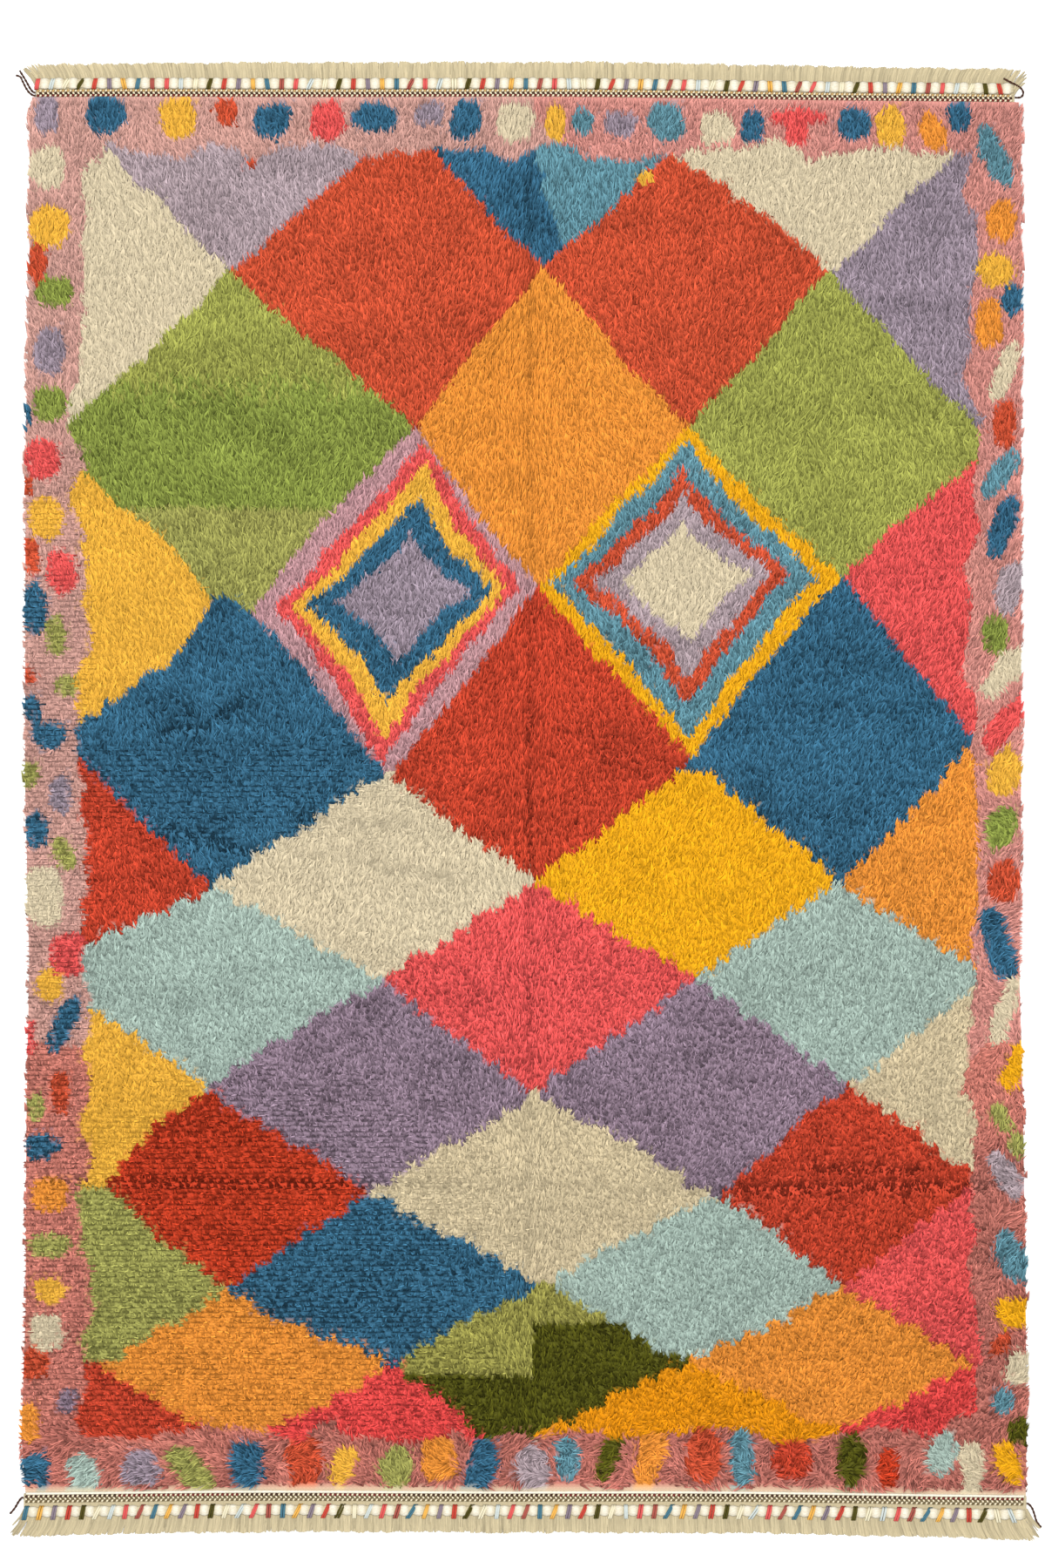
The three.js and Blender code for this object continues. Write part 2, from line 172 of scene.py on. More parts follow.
BOTTOM_SPOTS = """
    blue -82 -111.5 2.6 2.6, sky -74 -112 2.5 3.2 -30, lilac -64.5 -111.5 3.2 3.3,
    leaf -56 -111.5 2.5 4.5 -45, blue -46.5 -110.5 2.9 4.1, red -37 -110.5 3.1 4.2,
    yellow -30.5 -110.5 1.9 3.3 15, leaf -21.5 -111 2.6 3.8, orange -14.5 -109.5 2.9 3.9,
    blue -7 -111 2.5 4.2 15, lavender 1 -111 2.9 3.8, steel 7 -109.5 1.9 3.3, olive 14 -109 1.7 4.4 15,
    orange 21 -109.5 2.6 4.9 20, red 30 -109 3.1 4.8, steel 36.5 -109.5 2.0 4.9,
    brick 44.5 -109.5 3.3 3.3, olive 54.5 -110 2.3 4.4, madder 60.5 -111.5 1.5 3.6,
    sky 69.5 -109 2.3 3.6 25, cream 74.5 -111 2.0 4.1, gold 80.5 -110.5 2.0 4.1 -15"""


def light(screen):
    """A screen colour of 0 to 255 as linear light, by the usual power curve."""
    share = np.asarray(screen, float) / 255
    return np.where(share < 0.04045, share / 12.92, ((share + 0.055) / 1.055) ** 2.4)


GRID = 128


def unit(vectors):
    """Vectors brought to a length of one."""
    return vectors / np.linalg.norm(vectors, axis=-1, keepdims=True)


def drift(x, y, size, seed):
    """Smooth unevenness from -1 to 1: random heights on a square grid, eased between its corners."""
    heights = np.random.default_rng(seed).uniform(-1, 1, (GRID, GRID))
    across, along = x / size + 57.3, y / size + 61.7
    column, row = np.floor(across).astype(int), np.floor(along).astype(int)
    a, b = across - column, along - row
    a, b = a * a * (3 - 2 * a), b * b * (3 - 2 * b)
    here, there = column % GRID, (column + 1) % GRID
    low = heights[row % GRID, here] * (1 - a) + heights[row % GRID, there] * a
    high = heights[(row + 1) % GRID, here] * (1 - a) + heights[(row + 1) % GRID, there] * a
    return low * (1 - b) + high * b


def end_line(end, x):
    """Where an end finish meets the rug: a slight slope across the width, a shallow bow and a small wave."""
    share = x / end["half"]
    bow = end["bow"] * (1 - share ** 2)
    return end["joint"] - end["skew"] * share + bow + 0.0008 * np.sin(x / 0.13 + end["side"])


def sides_at(y):
    """The left and right edges at a height, straight between the measured places."""
    share = (y - BOTTOM["joint"]) / (TOP["joint"] - BOTTOM["joint"])
    return -np.interp(share, SIDE_SHARE, LEFT_SIDE), np.interp(share, SIDE_SHARE, RIGHT_SIDE)


def border_spots():
    """Middles, half sizes, tilts and dyes of the border's spots, read from the four charts."""
    entries = [entry.split() for chart in (TOP_SPOTS, RIGHT_SPOTS, LEFT_SPOTS, BOTTOM_SPOTS)
               for entry in chart.split(",")]
    sizes = np.array([[float(value) for value in entry[1:5]] for entry in entries]) / 100
    tilts = np.radians([float(entry[5]) if len(entry) > 5 else 0 for entry in entries])
    dyes = np.array([DYE[entry[0]] for entry in entries])
    return sizes[:, :2], sizes[:, 2:], tilts, dyes


SPOTS = border_spots()


def lattice_corners():
    """Places of every column on every tier: charted where lozenges meet, and at their middles across from
    the corners above and below and along from the corners at both sides."""
    lines = CORNERS.strip().splitlines()
    places = np.full((len(lines) + 2, COLUMN_COUNT + 2, 2), np.nan)
    for tier, line in enumerate(lines):
        pairs = [[float(value) for value in pair.split()] for pair in line.split(",")]
        places[tier + 1, 1 + tier % 2:-1:2] = np.array(pairs) / 100
    inner = places[1:-1, 1:-1]
    across = np.nanmean([places[:-2, 1:-1, 0], places[2:, 1:-1, 0], inner[..., 0]], 0)
    along = np.nanmean([places[1:-1, :-2, 1], places[1:-1, 2:, 1], inner[..., 1]], 0)
    middles = np.stack([across, along], -1)
    return np.where(np.isnan(inner), middles, inner)


LATTICE = lattice_corners()


def lattice_place(x, y):
    """Column and tier at a place: a first guess from the mean corners, then mended five times by how far
    the place that lies at the guess, between four neighbouring corners, is off."""
    columns, tiers = LATTICE[..., 0].mean(0), LATTICE[..., 1].mean(1)
    gaps = -np.gradient(tiers)
    u = np.interp(x, columns, np.arange(len(columns)))
    v = np.interp(-y, -tiers, np.arange(len(tiers)))
    for _ in range(5):
        column = np.clip(np.floor(u).astype(int), 0, len(columns) - 2)
        tier = np.clip(np.floor(v).astype(int), 0, len(tiers) - 2)
        a, b = (u - column)[..., None], (v - tier)[..., None]
        above = LATTICE[tier, column] * (1 - a) + LATTICE[tier, column + 1] * a
        below = LATTICE[tier + 1, column] * (1 - a) + LATTICE[tier + 1, column + 1] * a
        here = above * (1 - b) + below * b
        u = np.clip(u + (x - here[..., 0]) / COLUMN_GAP, 0.001, len(columns) - 1.001)
        v = np.clip(v - (y - here[..., 1]) / gaps[tier], 0.001, len(tiers) - 1.001)
    return u, v


def lattice_dye(x, y):
    """The dye of the field's lozenges: places are bent by slow and quick unevenness and drawn together in
    steps of a few rows, then counted in columns and tiers, and given to the lozenge whose middle is
    nearest along the two slants together. Some lozenges change to another lot or dye on the way."""
    step = (y / STEP + 0.8 * drift(x, y, 0.11, 8)) % 1 - 0.5
    step *= np.interp(y, (0, 0.35), (0.75, 0.35))
    bent_x = x + 0.006 * drift(x, y, 0.06, 1) + 0.003 * drift(x, y, 0.024, 2)
    bent_y = y - STEP * step + 0.006 * drift(x, y, 0.06, 3) + 0.002 * drift(x, y, 0.016, 4)
    u, v = lattice_place(bent_x, bent_y)
    rising = 2 * np.floor((u + v) / 2) + 1
    falling = 2 * np.floor((u - v) / 2) + 1
    column, tier = (rising + falling) / 2, (rising - falling) / 2
    dye = np.zeros(x.shape, int)
    for row, names in enumerate(CHART):
        for place, name in enumerate(names.split()):
            here = (tier == row) & (column == 2 * place + 1 - row % 2)
            if name in EYES:
                dye[here] = eye_dye(EYES[name], bent_x[here], bent_y[here], column[here], tier[here])
            else:
                dye[here] = DYE[name]
    change_of_lot(dye, "green", "leaf", y < 0.492 + 0.003 * drift(x, y, 0.03, 9))
    change_of_lot(dye, "green", "fern", (x < 0) & (y > 0.695 + 0.04 * drift(x, y, 0.006, 9)))
    change_of_lot(dye, "steel", "blue", (y > 0.85) & (x < 0.38 * (1.11 - y) + 0.012 * drift(x, y, 0.02, 9)))
    past_tip = (column == 0) & (tier == 3) & (np.abs(y - 0.335) > 1.4 * (-0.521 - x))
    change_of_lot(dye, "yellow", "blue", past_tip & (y < 0.345))
    change_of_lot(dye, "yellow", "leaf", past_tip)
    change_of_lot(dye, "gold", "blue", (y > 0.052) & (y < 0.078) & (np.abs(x - 0.27) < 0.05))
    change_of_lot(dye, "olive", "moss", (y > -0.870) | ((x < 0.013) & (y > -0.956)))
    return dye


def eye_dye(eye, x, y, column, tier):
    """The dye in a lozenge of rings, by the distance out from its middle along the two slants together.
    The inner rings are drawn in between their corners, so that the middle is a star."""
    u, v = lattice_place(x, y)
    shifted = np.clip((1 - np.abs(u - column) - np.abs(v - tier)) / eye["fade"], 0, 1)
    shift_x, shift_y = eye["shift"]
    lean = eye["lean"] * (y - y.mean())
    u, v = lattice_place(x - shifted * (shift_x + lean), y - shifted * shift_y)
    across, along = np.abs(u - column), np.abs(v - tier)
    inner = np.clip(1.6 - 2 * (across + along), 0, 1)
    across *= 1 + eye["stretch"] - (0.12 + eye["stretch"]) * inner
    along *= 1 - eye["stretch"] + (0.14 + eye["stretch"]) * inner
    power = 0.92 - 0.12 * inner
    reach = (across ** power + along ** power) ** (1 / power)
    reach += 0.025 * drift(x, y, 0.06, 27) + 0.012 * drift(x, y, 0.022, 28)
    limits = [limit for limit, _ in eye["rings"]]
    rings = np.array([DYE[ring] for _, ring in eye["rings"]])
    return rings[np.searchsorted(limits, reach)]


def change_of_lot(dye, old, new, where):
    """Knots of one dye, where a mask holds, are from a later lot of another dye."""
    dye[(dye == DYE[old]) & where] = DYE[new]


def dye_at(x, y):
    """The dye at each place: that of a spot where the place is within its uneven oval, else one of the
    border's lots outside the field's wavy edge, else the lattice."""
    dye = lattice_dye(x, y)
    wave = 0.020 * drift(x, y, 0.062, 5) + 0.006 * drift(x, y, 0.022, 6)
    field = (x > np.interp(y, *FIELD["left"]) + wave) & (x < np.interp(y, *FIELD["right"]) + wave)
    field &= (y > np.interp(x, *FIELD["bottom"]) + wave) & (y < np.interp(x, *FIELD["top"]) + wave)
    border = np.where(x + 0.03 * drift(x, y, 0.06, 24) > 0.03, DYE["coral"], DYE["pink"])
    later = y + 0.02 * drift(x, y, 0.05, 25)
    border[later < -0.41] = DYE["salmon"]
    last_lot = (later < np.where(x < 0, -0.99, -0.56)) & ((x > -0.35) | (drift(x, y, 0.03, 33) > 0))
    border[last_lot] = DYE["rosewood"]
    dye[~field] = border[~field]
    middles, halves, tilts, spot_dyes = SPOTS
    outside = np.flatnonzero(~field | (y > 1.02))
    px, py = x.ravel()[outside], y.ravel()[outside]
    off_x, off_y = px[:, None] - middles[:, 0], py[:, None] - middles[:, 1]
    across = (off_x * np.cos(tilts) - off_y * np.sin(tilts)) / halves[:, 0]
    along = (off_x * np.sin(tilts) + off_y * np.cos(tilts)) / halves[:, 1]
    uneven = 0.26 * drift(px, py, 0.017, 7) + 0.22 * drift(px, py, 0.034, 26)
    oval = np.abs(across) ** 2.4 + np.abs(along) ** 2.4 + uneven[:, None]
    spotted = oval.min(1) < 1.05
    dye.ravel()[outside[spotted]] = spot_dyes[oval.argmin(1)[spotted]]
    return dye


def add_mesh(name, points, faces, material, smooth=True, normals=None):
    """A mesh object at the origin from arrays of points and of faces with equal corner counts, shaded by
    its own normals or by one given for each point."""
    mesh = bpy.data.meshes.new(name)
    mesh.vertices.add(len(points))
    mesh.vertices.foreach_set("co", np.asarray(points, np.float32).ravel())
    mesh.loops.add(faces.size)
    mesh.loops.foreach_set("vertex_index", faces.astype(np.int32).ravel())
    mesh.polygons.add(len(faces))
    mesh.polygons.foreach_set("loop_start", np.arange(0, faces.size, faces.shape[1], dtype=np.int32))
    mesh.polygons.foreach_set("use_smooth", np.full(len(faces), smooth))
    mesh.update(calc_edges=True)
    if normals is not None:
        mesh.normals_split_custom_set_from_vertices(normals)
    mesh.materials.append(material)
    piece = bpy.data.objects.new(name, mesh)
    bpy.context.scene.collection.objects.link(piece)
    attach(piece, "root")
    return piece


def add_map(piece, corners, *names):
    """Maps of the piece's surface, from one pair of values for each corner of each face."""
    for name in names:
        layer = piece.data.uv_layers.new(name=name)
        layer.uv.foreach_set("vector", np.asarray(corners, np.float32).ravel())


def add_dye(piece, colours):
    """The colour of every point, as linear light, in an attribute that materials read."""
    attribute = piece.data.attributes.new("dye", "FLOAT_COLOR", "POINT")
    opaque = np.concatenate([colours, np.ones((len(colours), 1))], 1)
    attribute.data.foreach_set("color", opaque.astype(np.float32).ravel())


def new_material(name, specular):
    """A material that mirrors little, the node tree to add to, and its shader."""
    material = bpy.data.materials.new(name)
    material.use_nodes = True
    shader = material.node_tree.nodes["Principled BSDF"]
    shader.inputs["Specular IOR Level"].default_value = specular
    return material, material.node_tree, shader


def node(tree, kind, values=None, **settings):
    """A node of a kind, with settings on the node and values, or outputs of other nodes, on its inputs."""
    made = tree.nodes.new(kind)
    for key, value in settings.items():
        setattr(made, key, value)
    for key, value in (values or {}).items():
        if isinstance(value, bpy.types.NodeSocket):
            tree.links.new(value, made.inputs[key])
        else:
            made.inputs[key].default_value = value
    return made


def math(tree, operation, first, second=0):
    """The result of one sum."""
    return node(tree, "ShaderNodeMath", {0: first, 1: second}, operation=operation).outputs[0]


def between(tree, value, low, high, start=0, stop=1):
    """A value that goes from start to stop, made to go from low to high."""
    return node(tree, "ShaderNodeMapRange", {
        "Value": value, "From Min": start, "From Max": stop, "To Min": low, "To Max": high}).outputs[0]


def darkened(tree, colour, shade):
    """A colour times a shade."""
    return node(tree, "ShaderNodeMix", {"Factor": 1, "A": colour, "B": shade},
                data_type="RGBA", blend_type="MULTIPLY").outputs["Result"]


def own_dye(tree):
    """The colour that each point has of its own."""
    return node(tree, "ShaderNodeAttribute", attribute_name="dye").outputs["Color"]


def finish(tree, shader, colour, roughness, height, strength, relief):
    """A shader led to by its colour, its roughness and its relief."""
    bump = node(tree, "ShaderNodeBump", {"Height": height, "Strength": strength, "Distance": relief})
    tree.links.new(colour, shader.inputs["Base Color"])
    tree.links.new(roughness, shader.inputs["Roughness"])
    tree.links.new(bump.outputs["Normal"], shader.inputs["Normal"])


def ground_weave():
    """Wefts as ridges along X every few millimetres, crossed by warps, tinted by the knots' collars. The dye
    is darkened in the hollows between the ridges as painted shade.
    """
    material, tree, shader = new_material("ground_weave", 0.2)
    place = node(tree, "ShaderNodeTexCoord").outputs["Object"]
    wefts = node(tree, "ShaderNodeTexWave", {"Vector": place, "Scale": 62, "Distortion": 1.2, "Detail": 1},
                 bands_direction="Y")
    warps = node(tree, "ShaderNodeTexWave", {"Vector": place, "Scale": 48, "Distortion": 0.6, "Detail": 1},
                 bands_direction="X")
    ridges = math(tree, "MULTIPLY", wefts.outputs["Fac"], warps.outputs["Fac"])
    # Painted shade: the dye darkened in the hollows between the ridges
    colour = darkened(tree, own_dye(tree), between(tree, ridges, 0.85, 1))
    finish(tree, shader, colour, between(tree, ridges, 1, 0.86), ridges, 0.7, 0.0012)
    return material


def closed_sheet(top, bottom):
    """Faces of a grid seen from above, the same grid below turned over, and the rim between them."""
    rows, columns = top.shape[:2]
    corner = np.arange(rows * columns).reshape(rows, columns)
    upper = np.stack([corner[:-1, :-1], corner[:-1, 1:], corner[1:, 1:], corner[1:, :-1]], -1).reshape(-1, 4)
    under = upper[:, ::-1] + rows * columns
    rim = np.concatenate([corner[0, :-1], corner[:-1, -1], corner[-1, :0:-1], corner[:0:-1, 0]])
    after = np.roll(rim, -1)
    wall = np.stack([rim + rows * columns, after + rows * columns, after, rim], -1)
    points = np.concatenate([top.reshape(-1, 3), bottom.reshape(-1, 3)])
    return points, np.concatenate([upper, under, wall])


share, along = np.meshgrid(np.linspace(0, 1, GROUND_COLUMNS + 1), np.linspace(0, 1, GROUND_ROWS + 1))
left, right = sides_at(BOTTOM["joint"] + along * (TOP["joint"] - BOTTOM["joint"]))
ground_x = left + GROUND_INSET + share * (right - left - 2 * GROUND_INSET)
ground_y = end_line(BOTTOM, ground_x) * (1 - along) + end_line(TOP, ground_x) * along
ground_top = np.stack([ground_x, ground_y, np.full(ground_x.shape, GROUND)], -1)
ground_floor = np.stack([ground_x, ground_y, np.full(ground_x.shape, FLOOR_GAP)], -1)
ground_points, ground_faces = closed_sheet(ground_top, ground_floor)
undyed = ground_points[:, 1] < end_line(BOTTOM, ground_points[:, 0]) + SKIRT
knot_colours = light(list(DYES.values()))
ground_dyes = knot_colours[dye_at(ground_points[:, 0], ground_points[:, 1])]
ground_dyes[undyed] = light(DYES["cream"])
ground = add_mesh("woven_ground", ground_points, ground_faces, ground_weave(), smooth=False)
add_dye(ground, ground_dyes)
add_map(ground, ground_points[ground_faces.ravel(), :2] / BAKE_SPAN + 0.5, "OFBake")
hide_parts("rug_body")


# The pile
# Locks of hand-spun wool, two or three centimetres long, tied row by row and left to lean towards the
# top end. Each dye is one piece, and the locks part along the creases left by folding, where they are
# painted darker as shade.
ROW = 0.0086
ROWS_EACH_WAY = 138
KNOT = 0.0025
KNOTS_EACH_WAY = 346
SIDE_MARGIN = 0.006
END_MARGIN = 0.010
LOCK = {
    "length": 0.0118, "root": 0.0108, "half_width": 0.0012, "half_thick": 0.0008, "lean": np.radians(56)}
BROAD_LOCK = {
    "length": 0.0205, "root": 0.0062, "half_width": 0.0052, "half_thick": 0.0011, "lean": np.radians(70)}
YARN_SIDES = 3
SHADES = 16
# From one end to the other, and how wide and how strong each crease is
CREASES = [
    ((0.007, -0.840), (0.007, 1.080), 0.006, 0.5),
    ((-0.800, -0.636), (0.000, -0.645), 0.009, 1.1),
    ((0.000, -0.645), (0.360, -0.655), 0.009, 0.7),
    ((0.360, -0.652), (0.800, -0.646), 0.010, 1.4),
    ((0.480, -0.618), (0.660, -0.620), 0.007, 1.2),
    ((-0.606, 0.112), (-0.532, 0.116), 0.009, 1.2),
    ((-0.532, 0.116), (-0.474, 0.166), 0.009, 1.2),
    ((-0.600, -0.051), (-0.451, -0.092), 0.010, 1.3),
    ((-0.394, -0.086), (-0.112, -0.137), 0.010, 0.9),
    ((-0.380, -0.030), (-0.200, -0.045), 0.008, 0.9),
]


def crease_pull(x, y):
    """How much each point lies in a crease, and the push off its line: a bell curve of the distance."""
    depth = np.zeros(x.shape)
    push = np.zeros(x.shape + (2,))
    bent_x, bent_y = x + 0.004 * drift(x, y, 0.03, 30), y + 0.002 * drift(x, y, 0.03, 31)
    patchy = 1 + 0.35 * drift(x, y, 0.012, 32)
    for start, end, width, strength in CREASES:
        start, run = np.array(start), np.array(end) - np.array(start)
        off = np.stack([bent_x, bent_y], -1) - start
        off -= np.clip(off @ run / (run @ run), 0, 1)[..., None] * run
        away = np.linalg.norm(off, axis=-1)
        bell = strength * np.exp(-(away / width) ** 2) * patchy
        depth = np.maximum(depth, bell)
        push += (bell / np.maximum(away, 0.002))[..., None] * off
    return depth, push


def strands(path, across, width, thick, sides, level, levels):
    """Tapered yarns: a ring of points around every station of each path, with the last drawn to a point.

    Triangles close each yarn between its rings, up to the point and across its root.
    A ring lies at width across and thick upwards, times the cosine and sine of even steps. On the map,
    a yarn has the column of its level: the way round it runs across the column, the way along runs up.
    """
    count, stations = path.shape[:2]
    along = np.gradient(path, axis=1)
    rise = unit(np.cross(along, across))
    turn = np.pi / 2 + 2 * np.pi * np.arange(sides) / sides
    wide = (width[:, :-1, None] * np.cos(turn))[..., None] * across[:, :-1, None]
    high = (thick[:, :-1, None] * np.sin(turn))[..., None] * rise[:, :-1, None]
    rings = path[:, :-1, None] + wide + high
    points = np.concatenate([rings.reshape(count, -1, 3), path[:, -1:]], 1)

    last = stations - 2
    body = [(ring, side) for ring in range(last) for side in range(sides)]
    template = np.array(
        [((ring, side), (ring, side + 1), (ring + 1, side + 1)) for ring, side in body]
        + [((ring, side), (ring + 1, side + 1), (ring + 1, side)) for ring, side in body]
        + [((last, side), (last, side + 1), (last + 1, side)) for side in range(sides)]
        + [((0, 0), (0, side + 1), (0, side)) for side in range(1, sides - 1)])
    ring_of, side_of = template[..., 0], template[..., 1]
    corner = np.where(ring_of == stations - 1, (stations - 1) * sides, ring_of * sides + side_of % sides)
    faces = corner + (points.shape[1] * np.arange(count))[:, None, None]
    round_share = side_of / sides + 0.5 / sides * (ring_of == stations - 1)
    along_share = ring_of / (stations - 1)
    along_share[2 - sides:, 1] = -0.02
    column = (level[:, None, None] + 0.1 + 0.8 * round_share) / levels
    corners = np.stack(np.broadcast_arrays(column, 0.03 + 0.95 * along_share), -1)
    return points.reshape(-1, 3), faces.reshape(-1, 3), corners.reshape(-1, 2)


def yarn_group():
    """Shading of spun yarn on its strand map. The column gives a lock its own shade, the way along goes
    from painted shade at the root to painted light at the tip, and noise drawn out along the yarn gives the
    fibres."""
    tree = bpy.data.node_groups.new("spun_yarn", "ShaderNodeTree")
    sockets = {
        "INPUT": ("Dye", "Columns", "Spread", "Root_Shade", "Tip_Light", "Fibres"),
        "OUTPUT": ("Color", "Roughness", "Height"),
    }
    for way, names in sockets.items():
        for name in names:
            kind = "NodeSocketColor" if name in ("Dye", "Color") else "NodeSocketFloat"
            tree.interface.new_socket(name, in_out=way, socket_type=kind)
    given = node(tree, "NodeGroupInput").outputs
    strand = node(tree, "ShaderNodeUVMap", uv_map="strand").outputs["UV"]
    place = node(tree, "ShaderNodeSeparateXYZ", {0: strand}).outputs
    columns = math(tree, "MULTIPLY", place["X"], given["Columns"])
    column = math(tree, "FLOOR", columns)
    fibre_place = node(tree, "ShaderNodeCombineXYZ", {
        "X": math(tree, "MULTIPLY", math(tree, "FRACT", columns), given["Fibres"]),
        "Y": math(tree, "MULTIPLY", place["Y"], 2.5),
        "Z": column,
    }).outputs[0]
    fibres = node(tree, "ShaderNodeTexNoise", {
        "Vector": fibre_place, "Scale": 1, "Detail": 3, "Roughness": 0.6}).outputs["Fac"]
    tone = math(tree, "SUBTRACT", math(tree, "DIVIDE", column, given["Columns"]), 0.5)
    paler = math(tree, "ADD", math(tree, "MULTIPLY", tone, given["Spread"]), 1)
    shade = node(tree, "ShaderNodeHueSaturation", {
        "Fac": 1, "Value": paler, "Color": given["Dye"]}).outputs["Color"]
    # Painted shade towards the root and painted light towards the tip
    root = between(tree, place["Y"], given["Root_Shade"], given["Tip_Light"])
    streak = between(tree, fibres, 0.82, 1.14, 0.3, 0.7)
    node(tree, "NodeGroupOutput", {
        "Color": darkened(tree, shade, math(tree, "MULTIPLY", root, streak)),
        "Roughness": between(tree, fibres, 1, 0.82),
        "Height": fibres,
    })
    return tree


SPUN_YARN = yarn_group()


def yarn_material(name, root, dye=None, columns=SHADES, spread=0, tip=1.12, fibres=9, relief=0.0006):
    """A yarn finish: the spun yarn group in one dye, or in each point's own dye where none is given. Root
    and tip set its painted shade at the root and painted light at the tip.
    """
    material, tree, shader = new_material(name, 0.06)
    yarn = node(tree, "ShaderNodeGroup", node_tree=SPUN_YARN)
    values = {"Columns": columns, "Spread": spread, "Root_Shade": root, "Tip_Light": tip, "Fibres": fibres}
    for key, value in values.items():
        yarn.inputs[key].default_value = value
    if dye is None:
        tree.links.new(own_dye(tree), yarn.inputs["Dye"])
    else:
        yarn.inputs["Dye"].default_value = (*dye, 1)
    made = yarn.outputs
    finish(tree, shader, made["Color"], made["Roughness"], made["Height"], 0.5, relief)
    return material


def combed(x, y):
    """How far the pile shows its rows: towards the lower left corner, across the left half by the middle,
    and down the left border."""
    corner = np.clip((-0.36 - y) / 0.25, 0, 1) * np.clip((0.10 - x) / 0.35, 0, 1)
    waist = 0.7 * np.exp(-((y - 0.01) / 0.12) ** 2) * np.clip((0.0 - x) / 0.25, 0, 1)
    border = np.clip((-0.70 - x) / 0.04, 0, 1) * np.clip((0.80 - y) / 0.5, 0, 1)
    above_end = np.clip((y + 1.06) / 0.03, 0, 1)
    return np.maximum(np.maximum(corner, waist), border) * above_end


def tousled(x, y):
    """How far the pile falls every way, as it does along the bottom border and up the right one."""
    bottom = np.clip((-1.035 - y + 0.02 * drift(x, y, 0.07, 20)) / 0.05, 0, 1)
    right = 0.5 * np.clip((x - 0.745) / 0.03, 0, 1) * np.clip((0.5 - y) / 0.6, 0, 1)
    return np.maximum(bottom, right)


def knot_places():
    """Roots of the locks: a staggered grid of rows and knots, unevenly spaced, cut to the rug's outline.
    Every third lock is a broad one that fills the pile between the others. In combed pile the roots keep
    to their row. Upright locks are more common there and in the lower half, and rare along the middle."""
    chance = np.random.default_rng(11)
    column, row = np.meshgrid(np.arange(-KNOTS_EACH_WAY, KNOTS_EACH_WAY + 1),
                              np.arange(-ROWS_EACH_WAY, ROWS_EACH_WAY + 1))
    column, row = column.ravel(), row.ravel()
    x, y = (column + 0.5 * (row % 2)) * KNOT, row * ROW
    rowed = combed(x, y) * chance.uniform(0.45, 1.25, x.size) + 0.25 * drift(x, y, 0.03, 19) > 0.5
    upright_share = np.interp(y, (-0.37, -0.12), (0.85, 0.30)) * (1 - 0.7 * np.exp(-(x / 0.07) ** 2))
    upright = rowed | (chance.uniform(0, 1, x.size) < upright_share)
    broad = (column + 2 * row) % 3 == 0
    x = x + chance.uniform(-0.45, 0.45, x.size) * KNOT * np.where(broad, 3, 1)
    y = y + chance.uniform(-1, 1, y.size) * np.where(rowed, 0.07, 0.5) * ROW + 0.0018 * drift(x, y, 0.05, 23)
    left, right = sides_at(y)
    ragged = 0.003 * drift(x, y, 0.02, 12)
    inside = (x > left + SIDE_MARGIN + ragged) & (x < right - SIDE_MARGIN + ragged)
    lowest = end_line(BOTTOM, x) + END_MARGIN + 0.005 * drift(x, y, 0.035, 29)
    inside &= (y > lowest) & (y < end_line(TOP, x) - END_MARGIN)
    dash = rowed & ((column + 2 * row) % 6 == 0)
    y = y - 0.14 * ROW * dash
    return x[inside], y[inside], broad[inside], upright[inside], rowed[inside], dash[inside]


